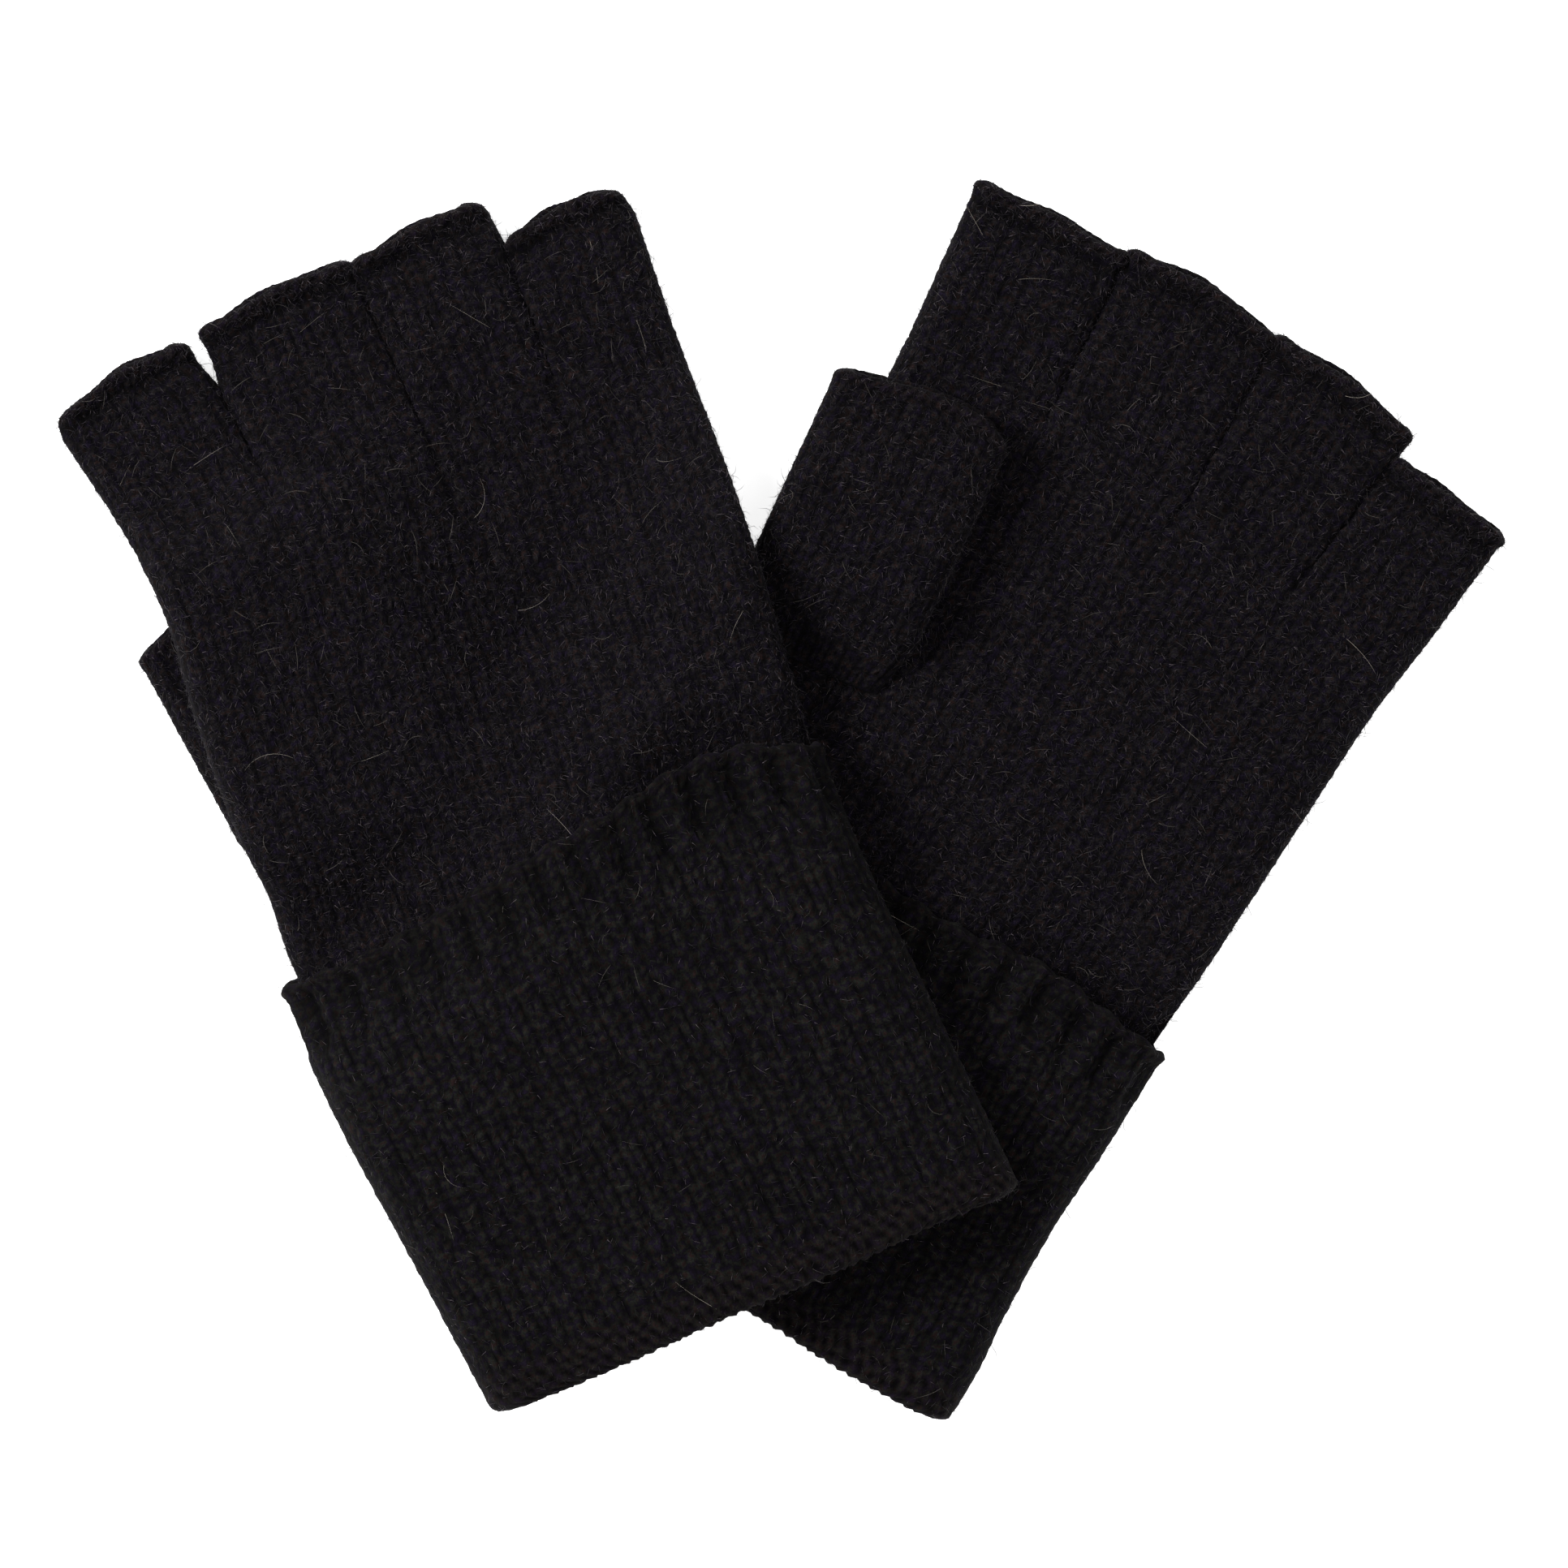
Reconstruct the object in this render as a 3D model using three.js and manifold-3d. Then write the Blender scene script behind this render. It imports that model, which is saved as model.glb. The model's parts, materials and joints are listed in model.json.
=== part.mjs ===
// A pair of fine-knit half-finger gloves with long cuffs turned up at the wrist.
// The left glove lies palm up on the surface. The right glove lies palm down across it, its cuff over
// the left cuff, and settles to the surface past the left glove's edge. Its own thumb is folded under
// its palm. Millimetres, +Z up, the surface at z = 0.
//
// Each glove is drawn flat in its own frame: u runs across to the little-finger side, v runs from the
// fold of the cuff to the fingertips, and z is the height over the bottom of the glove.

import * as THREE from 'three';
import { mergeVertices } from 'three/addons/utils/BufferGeometryUtils.js';
import Module from 'manifold-3d';

const wasm = await Module();
wasm.setup();

// ---------------------------------------------------------------- driving dimensions
const WALL = 1.6;              // thickness of one layer of knitting
const CAVITY = 5.0;            // room between the two layers of a flattened tube
const CLEARANCE = 0.4;         // between layers that lie on each other
const SEAM_GAP = 0.3;          // between sections that are knitted on to each other

const CUFF_LENGTH = 68;        // from the fold to the free edge of the turned-up cuff
const RIB_LENGTH = 12;         // ribbed band at that free edge
const FOLD_LENGTH = 1.8;       // the roll of the fold itself
const CUFF_HALF_WIDTH = 42.3;  // at the fold
const CUFF_FLARE = 2.6;        // how much wider each side is at the free edge
const WRIST_LENGTH = 58;       // the inner layer, from the fold up to the hand

const KNUCKLE_V = 139;         // line where the fingers leave the hand
const FINGER_GAP = 0.7;        // between neighbouring finger sleeves at the knuckles
const FINGERS = {              // each sleeve's size, and how far its tip leans to the little-finger side
    index: { width: 23.0, length: 25.5, lean: -3.0 },
    middle: { width: 24.0, length: 27.8, lean: -1.6 },
    ring: { width: 20.6, length: 27.5, lean: 0.4 },
    little: { width: 19.8, length: 21.5, lean: 1.1 },
};
const WELT_LENGTH = 3.2;       // bound-off edge round each opening

const THUMB_WIDTH = 28.4;
const THUMB_LENGTH = 29;
const THUMB_LEAN = THREE.MathUtils.degToRad(5.2);
const THUMB_ROOT_LENGTH = 7;   // where the thumb rises out of the palm
const THUMB_HOLE_INSET = 3;    // the hole in the palm, inside the thumb's width

const BED_ROUND = 2;           // how far inside the lower cuff's edge the upper glove starts to fall
const FALL_AT_CUFF = 75;       // distance over which the thick cuff settles to the surface
const FALL_AT_HAND = 30;       // and over which the thin hand does
const SAG = 2.2;               // dip of the upper glove over the lower palm
const SAG_MARGIN = 6;          // from the lower cuff's free edge to the start of that dip
const THUMB_SLOPE = 18;        // length of the slope of the palm beside the thumb that lies under it
const LEAST_STEP = 1.5;        // between two stations
const THUMB_MARGIN = 3;        // how far past that thumb the palm stays level

// ---------------------------------------------------------------- sizes worked out from them
const TUBE_HEIGHT = 2 * WALL + CAVITY;
const LAYER = WALL + CLEARANCE;
const CUFF_HEIGHT = TUBE_HEIGHT + 2 * LAYER;
const FINGER_WIDTHS = Object.values(FINGERS).map((finger) => finger.width);
const KNUCKLE_WIDTH = FINGER_WIDTHS.reduce((sum, width) => sum + width + FINGER_GAP, -FINGER_GAP);
const THUMB_STEP = TUBE_HEIGHT + CLEARANCE;

// Where each glove lies: the middle of its fold, its turn, and which side of it is up.
const LEFT_GLOVE = {
    prefix: 'left', foot: new THREE.Vector2(-10.8, -72.5), turn: THREE.MathUtils.degToRad(-30),
    palmUp: true, cuffLength: CUFF_LENGTH - 2, cuffLean: -2.0, knuckleMiddle: 1.0, thumbMiddle: -34.2, thumbV: 101,
    across: 2, stationStep: 18,
};
const RIGHT_GLOVE = {
    prefix: 'right', foot: new THREE.Vector2(-2.6, -74.0), turn: THREE.MathUtils.degToRad(23.5),
    palmUp: false, cuffLength: CUFF_LENGTH + 4, cuffLean: -3.4, knuckleMiddle: 2.1, thumbMiddle: -31.2, thumbV: 99,
    across: 9, stationStep: 8,
};

// ---------------------------------------------------------------- small helpers
const smooth = (t) => THREE.MathUtils.smoothstep(t, 0, 1);

function toWorld(glove, u, v) {
    return new THREE.Vector2(u, v).rotateAround(new THREE.Vector2(), glove.turn).add(glove.foot);
}

function toLocal(glove, point) {
    return point.clone().sub(glove.foot).rotateAround(new THREE.Vector2(), -glove.turn);
}

/** Where the palm is level for the thumb: just short of its root. */
function thumbRootStart(glove) {
    return glove.thumbV - THUMB_ROOT_LENGTH - LEAST_STEP;
}

/** Stations along a glove from start to end. Those between come from one list for the whole glove, so
 *  that layers that lie on each other bend at the same places. */
function stations(glove, start, end) {
    const all = [glove.cuffLength - RIB_LENGTH, glove.cuffLength, thumbRootStart(glove)];
    for (let v = 0; v < end; v += glove.stationStep) all.push(v);
    const between = all.sort((a, b) => a - b)
        .filter((v, i) => i === 0 || v - all[i - 1] > LEAST_STEP)
        .filter((v) => v > start + LEAST_STEP && v < end - LEAST_STEP);
    return [start, ...between, end];
}

// ---------------------------------------------------------------- outline of a glove
/** Left and right edges of the turned-up cuff at v. */
function cuffEdges(glove, v) {
    const t = smooth(v / glove.cuffLength);
    const half = CUFF_HALF_WIDTH + CUFF_FLARE * t;
    const middle = glove.cuffLean * t;
    return [middle - half, middle + half];
}

/** Left and right edges of the hand at v: as wide as the cuff's inside at the wrist, and as the
 *  four sleeves at the knuckles. */
function handEdges(glove, v) {
    const [left, right] = cuffEdges(glove, v);
    const t = smooth((v - glove.cuffLength) / (KNUCKLE_V - glove.cuffLength));
    const middle = glove.knuckleMiddle;
    return [
        THREE.MathUtils.lerp(left + LAYER, middle - KNUCKLE_WIDTH / 2, t),
        THREE.MathUtils.lerp(right - LAYER, middle + KNUCKLE_WIDTH / 2, t),
    ];
}

/** Height of the bottom of the hand over the bottom of the cuff: the hand rests on the cuff's lower
 *  layer at the wrist and comes down to the surface past it. */
function handBase(glove, v) {
    return LAYER * (1 - smooth((v - glove.cuffLength) / THUMB_SLOPE));
}

// ---------------------------------------------------------------- how the upper glove settles
/** Height of what the right glove lies on at its own (u, v), apart from its own thumb. */
function bedHeight(u, v) {
    const low = toLocal(LEFT_GLOVE, toWorld(RIGHT_GLOVE, u, v));
    const rootStart = thumbRootStart(LEFT_GLOVE);
    const onThumb = smooth((low.y - rootStart) / (LEFT_GLOVE.thumbV - rootStart));
    const [cuffEdge] = cuffEdges(LEFT_GLOVE, low.y);
    const thumbEdge = LEFT_GLOVE.thumbMiddle - THUMB_WIDTH / 2;
    const pastEdge = Math.max(0, THREE.MathUtils.lerp(cuffEdge, thumbEdge, onThumb) - low.x + BED_ROUND);
    const pastFold = Math.max(0, BED_ROUND - low.y);
    const fall = THREE.MathUtils.lerp(FALL_AT_CUFF, FALL_AT_HAND, smooth((v - 10) / 80));
    const dipStart = LEFT_GLOVE.cuffLength + SAG_MARGIN;
    const along = THREE.MathUtils.clamp((low.y - dipStart) / (rootStart - dipStart), 0, 1);
    const dip = SAG * Math.sin(Math.PI * along) ** 2;
    const top = CUFF_HEIGHT + CLEARANCE - dip + (TUBE_HEIGHT + THUMB_STEP - CUFF_HEIGHT) * onThumb;
    return top * (1 - smooth(Math.hypot(pastEdge, pastFold) / fall));
}

/** How far the right glove's palm is raised by its own thumb, folded under it. */
function overThumb(u, v) {
    const glove = RIGHT_GLOVE;
    const innerEdge = glove.thumbMiddle + THUMB_WIDTH / 2 + THUMB_MARGIN;
    const start = thumbRootStart(glove);
    const [, end] = thumbPlace(glove)(THUMB_WIDTH / 2, THUMB_LENGTH + CLEARANCE);
    const across = 1 - smooth((u - innerEdge) / THUMB_SLOPE);
    const rise = smooth((v - glove.cuffLength) / (start - glove.cuffLength));
    const fall = 1 - smooth((v - end) / (THUMB_SLOPE + THUMB_MARGIN));
    return THUMB_STEP * across * rise * fall;
}

/** Height of the bottom of a glove's hand and fingers at (u, v). */
function handLift(glove, u, v) {
    if (glove.palmUp) return 0;
    const bed = bedHeight(u, v);
    const thumb = overThumb(u, v);
    return bed + thumb - bed * thumb / (CUFF_HEIGHT + CLEARANCE + THUMB_STEP);
}

/** Height of the bottom of what isn't raised by the folded thumb. */
function cuffLift(glove, u, v) {
    return glove.palmUp ? 0 : bedHeight(u, v);
}

// ---------------------------------------------------------------- solids
/** One closed mesh from rows of outer and inner points, swept along v. A closed path makes a tube
 *  and an open one a channel. Each row is a list of Vector3. */
function sweep(outerRows, innerRows, closedPath) {
    const rows = outerRows.length;
    const count = outerRows[0].length;
    const points = [...outerRows.flat(), ...innerRows.flat()];
    const outer = (row, i) => row * count + i % count;
    const inner = (row, i) => (rows + row) * count + i % count;
    const index = [];
    const quad = (a, b, c, d) => index.push(a, b, c, a, c, d);
    const spans = closedPath ? count : count - 1;
    for (let row = 0; row + 1 < rows; row++) {
        for (let i = 0; i < spans; i++) {
            quad(outer(row, i), outer(row, i + 1), outer(row + 1, i + 1), outer(row + 1, i));
            quad(inner(row, i), inner(row + 1, i), inner(row + 1, i + 1), inner(row, i + 1));
        }
        if (!closedPath) {
            quad(outer(row, 0), outer(row + 1, 0), inner(row + 1, 0), inner(row, 0));
            quad(outer(row, count - 1), inner(row, count - 1), inner(row + 1, count - 1), outer(row + 1, count - 1));
        }
    }
    const last = rows - 1;
    for (let i = 0; i < spans; i++) {
        quad(outer(0, i), inner(0, i), inner(0, i + 1), outer(0, i + 1));
        quad(outer(last, i), outer(last, i + 1), inner(last, i + 1), inner(last, i));
    }
    return facingOut(points, index);
}

/** A geometry of the points and triangles, turned round if its volume comes out negative. */
function facingOut(points, index) {
    let volume = 0;
    for (let i = 0; i < index.length; i += 3) {
        const [a, b, c] = [points[index[i]], points[index[i + 1]], points[index[i + 2]]];
        volume += a.dot(new THREE.Vector3().crossVectors(b, c));
    }
    if (volume < 0) index.reverse();
    const geometry = new THREE.BufferGeometry().setFromPoints(points);
    geometry.setIndex(index);
    geometry.computeVertexNormals();
    return geometry;
}

/** Path round a flattened tube as (u, z) points: round sides, and faces of `across` pieces.
 *  part is 'all' of the ring, or the 'upper' or 'lower' half of it. */
function section({ left, right, bottom, top }, across, part) {
    const radius = (top - bottom) / 2;
    const start = part === 'all' ? 0 : Math.asin(SEAM_GAP / 2 / radius);
    const side = (centre, from, to) => [0, 0.5, 1].map((t) => {
        const turn = THREE.MathUtils.lerp(from, to, t);
        return new THREE.Vector2(centre + radius * Math.cos(turn), bottom + radius + radius * Math.sin(turn));
    });
    const face = (from, to, z) => Array.from({ length: across - 1 },
        (_, i) => new THREE.Vector2(THREE.MathUtils.lerp(from, to, (i + 1) / across), z));
    const [low, high] = [left + radius, right - radius];
    const upper = [...side(high, start, Math.PI / 2), ...face(high, low, top),
        ...side(low, Math.PI / 2, Math.PI - start)];
    const lower = [...side(low, Math.PI + start, 1.5 * Math.PI), ...face(low, high, bottom),
        ...side(high, 1.5 * Math.PI, 2 * Math.PI - start)];
    if (part === 'upper') return upper;
    if (part === 'lower') return lower;
    return [...upper, ...lower.slice(1, -1)];
}

/** A knitted tube, or half of one, through the stations vs. shape(v) gives its outer section there,
 *  place(u, v) its place in the glove, and lift(u, v) the height it is raised by at that place. */
function knit({ vs, shape, across, lift, wall = WALL, part = 'all', place = (u, v) => [u, v] }) {
    const row = (v, inset) => {
        const { left, right, bottom, top } = shape(v);
        const inside = { left: left + inset, right: right - inset, bottom: bottom + inset, top: top - inset };
        return section(inside, across, part).map((point) => {
            const [u, along] = place(point.x, v);
            return new THREE.Vector3(u, along, point.y + lift(u, along));
        });
    };
    return sweep(vs.map((v) => row(v, 0)), vs.map((v) => row(v, wall)), part === 'all');
}

/** The geometry of one solid with another cut out of it. */
function cut(geometry, cutter) {
    const solid = (source) => {
        const triVerts = Uint32Array.from(source.index.array);
        const vertProperties = Float32Array.from(source.attributes.position.array);
        return new wasm.Manifold(new wasm.Mesh({ numProp: 3, vertProperties, triVerts }));
    };
    const result = solid(geometry).subtract(solid(cutter)).getMesh();
    const out = new THREE.BufferGeometry();
    out.setAttribute('position', new THREE.BufferAttribute(result.vertProperties, 3));
    out.setIndex(new THREE.BufferAttribute(result.triVerts, 1));
    out.computeVertexNormals();
    return out;
}

// ---------------------------------------------------------------- the sections of one glove
/** Wrist, fold, and the turned-up cuff with its ribbed edge, each in an upper and a lower half. */
function cuffParts(glove) {
    const lift = (u, v) => cuffLift(glove, u, v);
    const { across, cuffLength } = glove;
    const outer = (v) => {
        const [left, right] = cuffEdges(glove, v);
        return { left, right, bottom: 0, top: CUFF_HEIGHT };
    };
    const inner = (v) => {
        const [left, right] = cuffEdges(glove, v);
        return { left: left + LAYER, right: right - LAYER, bottom: LAYER, top: CUFF_HEIGHT - LAYER };
    };
    const foldShape = (v) => {
        const { left, right, bottom, top } = outer(v);
        const inset = WALL * (1 - v / FOLD_LENGTH) ** 2;
        return { left: left + inset, right: right - inset, bottom: bottom + inset, top: top - inset };
    };
    const start = FOLD_LENGTH + SEAM_GAP;
    const ribStart = cuffLength - RIB_LENGTH;
    const tube = stations(glove, start, ribStart - SEAM_GAP);
    const rib = stations(glove, ribStart, cuffLength);
    return {
        cuff_fold: knit({ vs: [0, FOLD_LENGTH / 3, FOLD_LENGTH], shape: foldShape, across, lift,
            wall: LAYER + WALL }),
        wrist_tube: knit({ vs: stations(glove, start, WRIST_LENGTH - SEAM_GAP), shape: inner, across, lift }),
        cuff_top: knit({ vs: tube, shape: outer, across, lift, part: 'upper' }),
        cuff_under: knit({ vs: tube, shape: outer, across, lift, part: 'lower' }),
        rib_top: knit({ vs: rib, shape: outer, across, lift, part: 'upper' }),
        rib_under: knit({ vs: rib, shape: outer, across, lift, part: 'lower' }),
    };
}

/** Place in the glove of a point x across and y along the thumb, which leans out from its root. */
function thumbPlace(glove) {
    return (x, y) => {
        const point = new THREE.Vector2(x, y).rotateAround(new THREE.Vector2(), THUMB_LEAN);
        return [glove.thumbMiddle + point.x, glove.thumbV + point.y];
    };
}

/** The hand, with the hole in its palm where the thumb leaves it. */
function handPart(glove) {
    const shape = (v) => {
        const [left, right] = handEdges(glove, v);
        const bottom = handBase(glove, v);
        return { left, right, bottom, top: bottom + TUBE_HEIGHT };
    };
    const vs = stations(glove, WRIST_LENGTH, KNUCKLE_V - SEAM_GAP / 2);
    const tube = knit({ vs, shape, across: glove.across, lift: (u, v) => handLift(glove, u, v) });
    const width = THUMB_WIDTH - 2 * THUMB_HOLE_INSET;
    const length = THUMB_ROOT_LENGTH - WALL;
    const [u, v] = thumbPlace(glove)(0, -length / 2 - SEAM_GAP);
    const hole = new THREE.BoxGeometry(width, length, CAVITY);
    hole.deleteAttribute('normal');
    hole.deleteAttribute('uv');
    const merged = mergeVertices(hole);
    merged.rotateZ(THUMB_LEAN);
    merged.translate(u, v, glove.palmUp ? TUBE_HEIGHT : THUMB_STEP);
    return { hand: cut(tube, merged) };
}

/** The thumb: a root that rises out of the palm, the sleeve, and its bound-off edge. On a glove that
 *  lies palm up it's on top of the palm, and otherwise under it. */
function thumbParts(glove) {
    const bottom = glove.palmUp ? THUMB_STEP : 0;
    const half = THUMB_WIDTH / 2;
    const place = thumbPlace(glove);
    const lift = (u, v) => cuffLift(glove, u, v);
    const sleeve = () => ({ left: -half, right: half, bottom, top: bottom + TUBE_HEIGHT });
    const root = (y) => {
        const rise = THREE.MathUtils.lerp(2 * WALL + CLEARANCE, TUBE_HEIGHT, smooth(1 + y / THUMB_ROOT_LENGTH));
        return glove.palmUp
            ? { left: -half, right: half, bottom: bottom - rise, top: bottom + rise }
            : { left: -half, right: half, bottom: TUBE_HEIGHT - rise, top: TUBE_HEIGHT + rise };
    };
    const weltStart = THUMB_LENGTH - WELT_LENGTH;
    return {
        thumb_root: knit({ vs: [-THUMB_ROOT_LENGTH, -THUMB_ROOT_LENGTH / 2, -SEAM_GAP / 2], shape: root, across: 1,
            lift, place, part: glove.palmUp ? 'upper' : 'lower' }),
        thumb_sleeve: knit({ vs: [SEAM_GAP / 2, weltStart - SEAM_GAP], shape: sleeve, across: 1, lift, place }),
        thumb_welt: knit({ vs: [weltStart, THUMB_LENGTH], shape: sleeve, across: 1, lift, place }),
    };
}

/** Left and right edges of each finger sleeve at the knuckles, keyed by finger. */
function fingerRoots(glove) {
    const roots = {};
    let left = glove.knuckleMiddle - KNUCKLE_WIDTH / 2;
    for (const [finger, { width }] of Object.entries(FINGERS)) {
        roots[finger] = [left, left + width];
        left += width + FINGER_GAP;
    }
    return roots;
}

/** The four finger sleeves and the bound-off edge of each. */
function fingerParts(glove) {
    const parts = {};
    const roots = fingerRoots(glove);
    for (const [finger, { length, lean }] of Object.entries(FINGERS)) {
        const [left, right] = roots[finger];
        const shape = (v) => {
            const out = lean * (v - KNUCKLE_V) / length;
            return { left: left + out, right: right + out, bottom: 0, top: TUBE_HEIGHT };
        };
        const tip = KNUCKLE_V + length;
        const weltStart = tip - WELT_LENGTH;
        const common = { shape, across: glove.palmUp ? 1 : 3, lift: (u, v) => handLift(glove, u, v) };
        parts[`${finger}_sleeve`] = knit({ ...common,
            vs: stations(glove, KNUCKLE_V + SEAM_GAP / 2, weltStart - SEAM_GAP) });
        parts[`${finger}_welt`] = knit({ ...common, vs: [weltStart, tip] });
    }
    return parts;
}

// ---------------------------------------------------------------- the pair
const YARN = { color: 0x17151a, roughness: 0.95, metalness: 0 };

function buildGlove(glove) {
    const group = new THREE.Group();
    const parts = { ...cuffParts(glove), ...handPart(glove), ...thumbParts(glove), ...fingerParts(glove) };
    for (const [name, geometry] of Object.entries(parts)) {
        const mesh = new THREE.Mesh(geometry, new THREE.MeshStandardMaterial(YARN));
        mesh.name = `${glove.prefix}_${name}`;
        group.add(mesh);
    }
    group.position.set(glove.foot.x, glove.foot.y, 0);
    group.rotation.z = glove.turn;
    return group;
}

const pair = new THREE.Group();
pair.add(buildGlove(LEFT_GLOVE), buildGlove(RIGHT_GLOVE));
export default pair;
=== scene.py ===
"""Looks of a pair of black half-finger gloves in fine brushed knitting, with turned-up ribbed cuffs.

The left glove lies palm up on the surface and the right glove lies palm down across it. Each glove is
shaped in its own flat frame, in millimetres: u runs across to the little-finger side, v runs from the
fold of the cuff to the fingertips, and z is the height over the bottom of the glove. Every piece is a
knitted wall with an outside, a rolled edge and an inside. Geometry Nodes raise its stitches and grow
its fibres.
"""

from __future__ import annotations

import json
import logging
import math
from dataclasses import dataclass, replace
from enum import Enum

import bpy
import numpy as np
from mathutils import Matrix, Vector

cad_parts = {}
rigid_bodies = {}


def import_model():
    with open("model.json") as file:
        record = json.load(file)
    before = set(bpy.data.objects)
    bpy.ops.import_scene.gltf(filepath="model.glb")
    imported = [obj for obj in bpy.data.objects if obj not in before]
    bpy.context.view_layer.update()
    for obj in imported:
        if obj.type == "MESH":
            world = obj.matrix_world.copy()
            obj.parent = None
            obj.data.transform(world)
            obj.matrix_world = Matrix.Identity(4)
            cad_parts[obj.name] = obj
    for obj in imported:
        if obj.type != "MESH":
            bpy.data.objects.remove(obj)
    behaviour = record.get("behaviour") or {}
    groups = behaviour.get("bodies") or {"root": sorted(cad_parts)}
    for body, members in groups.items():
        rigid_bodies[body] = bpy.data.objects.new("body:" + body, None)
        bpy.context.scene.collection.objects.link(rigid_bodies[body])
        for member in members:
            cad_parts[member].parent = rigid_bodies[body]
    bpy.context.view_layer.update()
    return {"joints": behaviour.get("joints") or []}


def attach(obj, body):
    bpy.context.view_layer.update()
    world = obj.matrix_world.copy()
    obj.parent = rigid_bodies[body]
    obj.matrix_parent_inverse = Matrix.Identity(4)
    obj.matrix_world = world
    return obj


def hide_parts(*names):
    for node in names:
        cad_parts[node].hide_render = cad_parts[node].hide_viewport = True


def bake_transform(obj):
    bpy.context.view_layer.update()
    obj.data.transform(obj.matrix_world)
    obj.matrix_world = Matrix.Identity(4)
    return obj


LOG = logging.getLogger("gloves")
MM = 0.001
TAU = 2 * math.pi
Points = tuple[tuple[float, float], ...]


# ---------------------------------------------------------------- small helpers
def smooth(t: np.ndarray) -> np.ndarray:
    """Returns t held between 0 and 1 and eased at both ends."""
    t = np.clip(t, 0.0, 1.0)
    return t * t * (3 - 2 * t)


def lerp(a: np.ndarray, b: np.ndarray, t: np.ndarray) -> np.ndarray:
    """Returns the value t of the way from a to b."""
    return a + (b - a) * t


def bump(x: np.ndarray, place: tuple[float, float]) -> np.ndarray:
    """Returns a smooth hump, 1 at the place's first number and as wide as its second."""
    middle, width = place
    return np.exp(-(((x - middle) / width) ** 2))


def through(points: Points, x: np.ndarray) -> np.ndarray:
    """A smooth curve through a few points.

    Args:
        points: The points (x, y), in order of x.
        x: Where the curve is read. Past the ends it stays level.

    Returns:
        The curve's y at each x.
    """
    px, py = np.array(points, float).T
    slope = np.gradient(py, px)
    x = np.clip(x, px[0], px[-1])
    i = np.clip(np.searchsorted(px, x, side="right") - 1, 0, len(px) - 2)
    span = px[i + 1] - px[i]
    t = (x - px[i]) / span
    start = (1 + 2 * t) * (1 - t) ** 2 * py[i] + t * (1 - t) ** 2 * span * slope[i]
    end = t * t * (3 - 2 * t) * py[i + 1] + t * t * (t - 1) * span * slope[i + 1]
    return start + end


def ripple(u: np.ndarray, v: np.ndarray, seed: int, length: float) -> np.ndarray:
    """Gentle uneven waves over the glove.

    Args:
        u: Places across the glove, in mm.
        v: Places along the glove, in mm.
        seed: Which set of waves.
        length: Typical length of a wave, in mm.

    Returns:
        The waves' height at each place, from -1 to 1.
    """
    rng = np.random.default_rng(seed)
    count = 7
    total = np.zeros(np.broadcast(u, v).shape)
    for _ in range(count):
        heading, phase = rng.uniform(0, TAU, 2)
        size = length * rng.uniform(0.7, 1.6)
        total += np.sin(TAU * (u * math.cos(heading) + v * math.sin(heading)) / size + phase)
    return np.tanh(total / math.sqrt(count))


def linear(colour: str) -> tuple[float, float, float, float]:
    """Turns an sRGB hex colour to linear RGBA.

    Args:
        colour: Six hex digits after a hash.

    Returns:
        Red, green, blue and alpha, from 0 to 1.
    """
    parts = [int(colour.lstrip("#")[i : i + 2], 16) / 255 for i in (0, 2, 4)]
    r, g, b = (x / 12.92 if x <= 0.04045 else ((x + 0.055) / 1.055) ** 2.4 for x in parts)
    return r, g, b, 1.0


def add(tree: bpy.types.NodeTree, kind: str, links: dict | None = None, **settings) -> bpy.types.Node:
    """Adds a node with its settings and links.

    Args:
        tree: The node tree.
        kind: The node's type.
        links: For an input's name or number, the output it comes from, or its value.
        settings: The node's own settings.

    Returns:
        The new node.
    """
    node = tree.nodes.new(kind)
    for name, value in settings.items():
        setattr(node, name, value)
    for key, value in (links or {}).items():
        if isinstance(value, bpy.types.NodeSocket):
            tree.links.new(value, node.inputs[key])
        else:
            node.inputs[key].default_value = value
    return node


# ---------------------------------------------------------------- sizes shared by both gloves
@dataclass(frozen=True)
class Layers:
    """Thickness of the knitting and of the flattened tubes it makes, in mm."""

    wall: float = 1.6
    cavity: float = 5.0
    clearance: float = 0.4

    @property
    def tube(self) -> float:
        """Height of a flattened tube."""
        return 2 * self.wall + self.cavity

    @property
    def step(self) -> float:
        """From one layer to the next that lies on it."""
        return self.wall + self.clearance

    @property
    def cuff(self) -> float:
        """Height of the wrist with the cuff turned up over it."""
        return self.tube + 2 * self.step

    @property
    def thumb_step(self) -> float:
        """How far a thumb folded on the palm raises what lies on it."""
        return self.tube + self.clearance


@dataclass(frozen=True)
class Gauge:
    """Size of one stitch, in mm, and how finely the mesh follows it."""

    wale: float
    course: float
    across: int = 6
    along: int = 4

    def stitches_round(self, girth: float) -> int:
        """Returns the even number of stitches round a tube of that girth."""
        return 2 * round(girth / self.wale / 2)


@dataclass(frozen=True)
class FingerCut:
    """One finger sleeve: its width at the knuckles, its two edges at the tip and its edge line, in mm."""

    width: float
    tip_edges: tuple[float, float]
    tip_line: tuple[float, float, float]
    corner: tuple[float, float] = (2.4, 2.4)


class Finger(Enum):
    """The four half fingers, from the thumb's side."""

    INDEX = "index"
    MIDDLE = "middle"
    RING = "ring"
    LITTLE = "little"


class Half(Enum):
    """Which part of a flattened tube a piece takes up, as shares round it from the little-finger side."""

    WHOLE = (0.0, 1.0)
    UPPER = (0.0, 0.5)
    LOWER = (0.5, 1.0)


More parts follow.
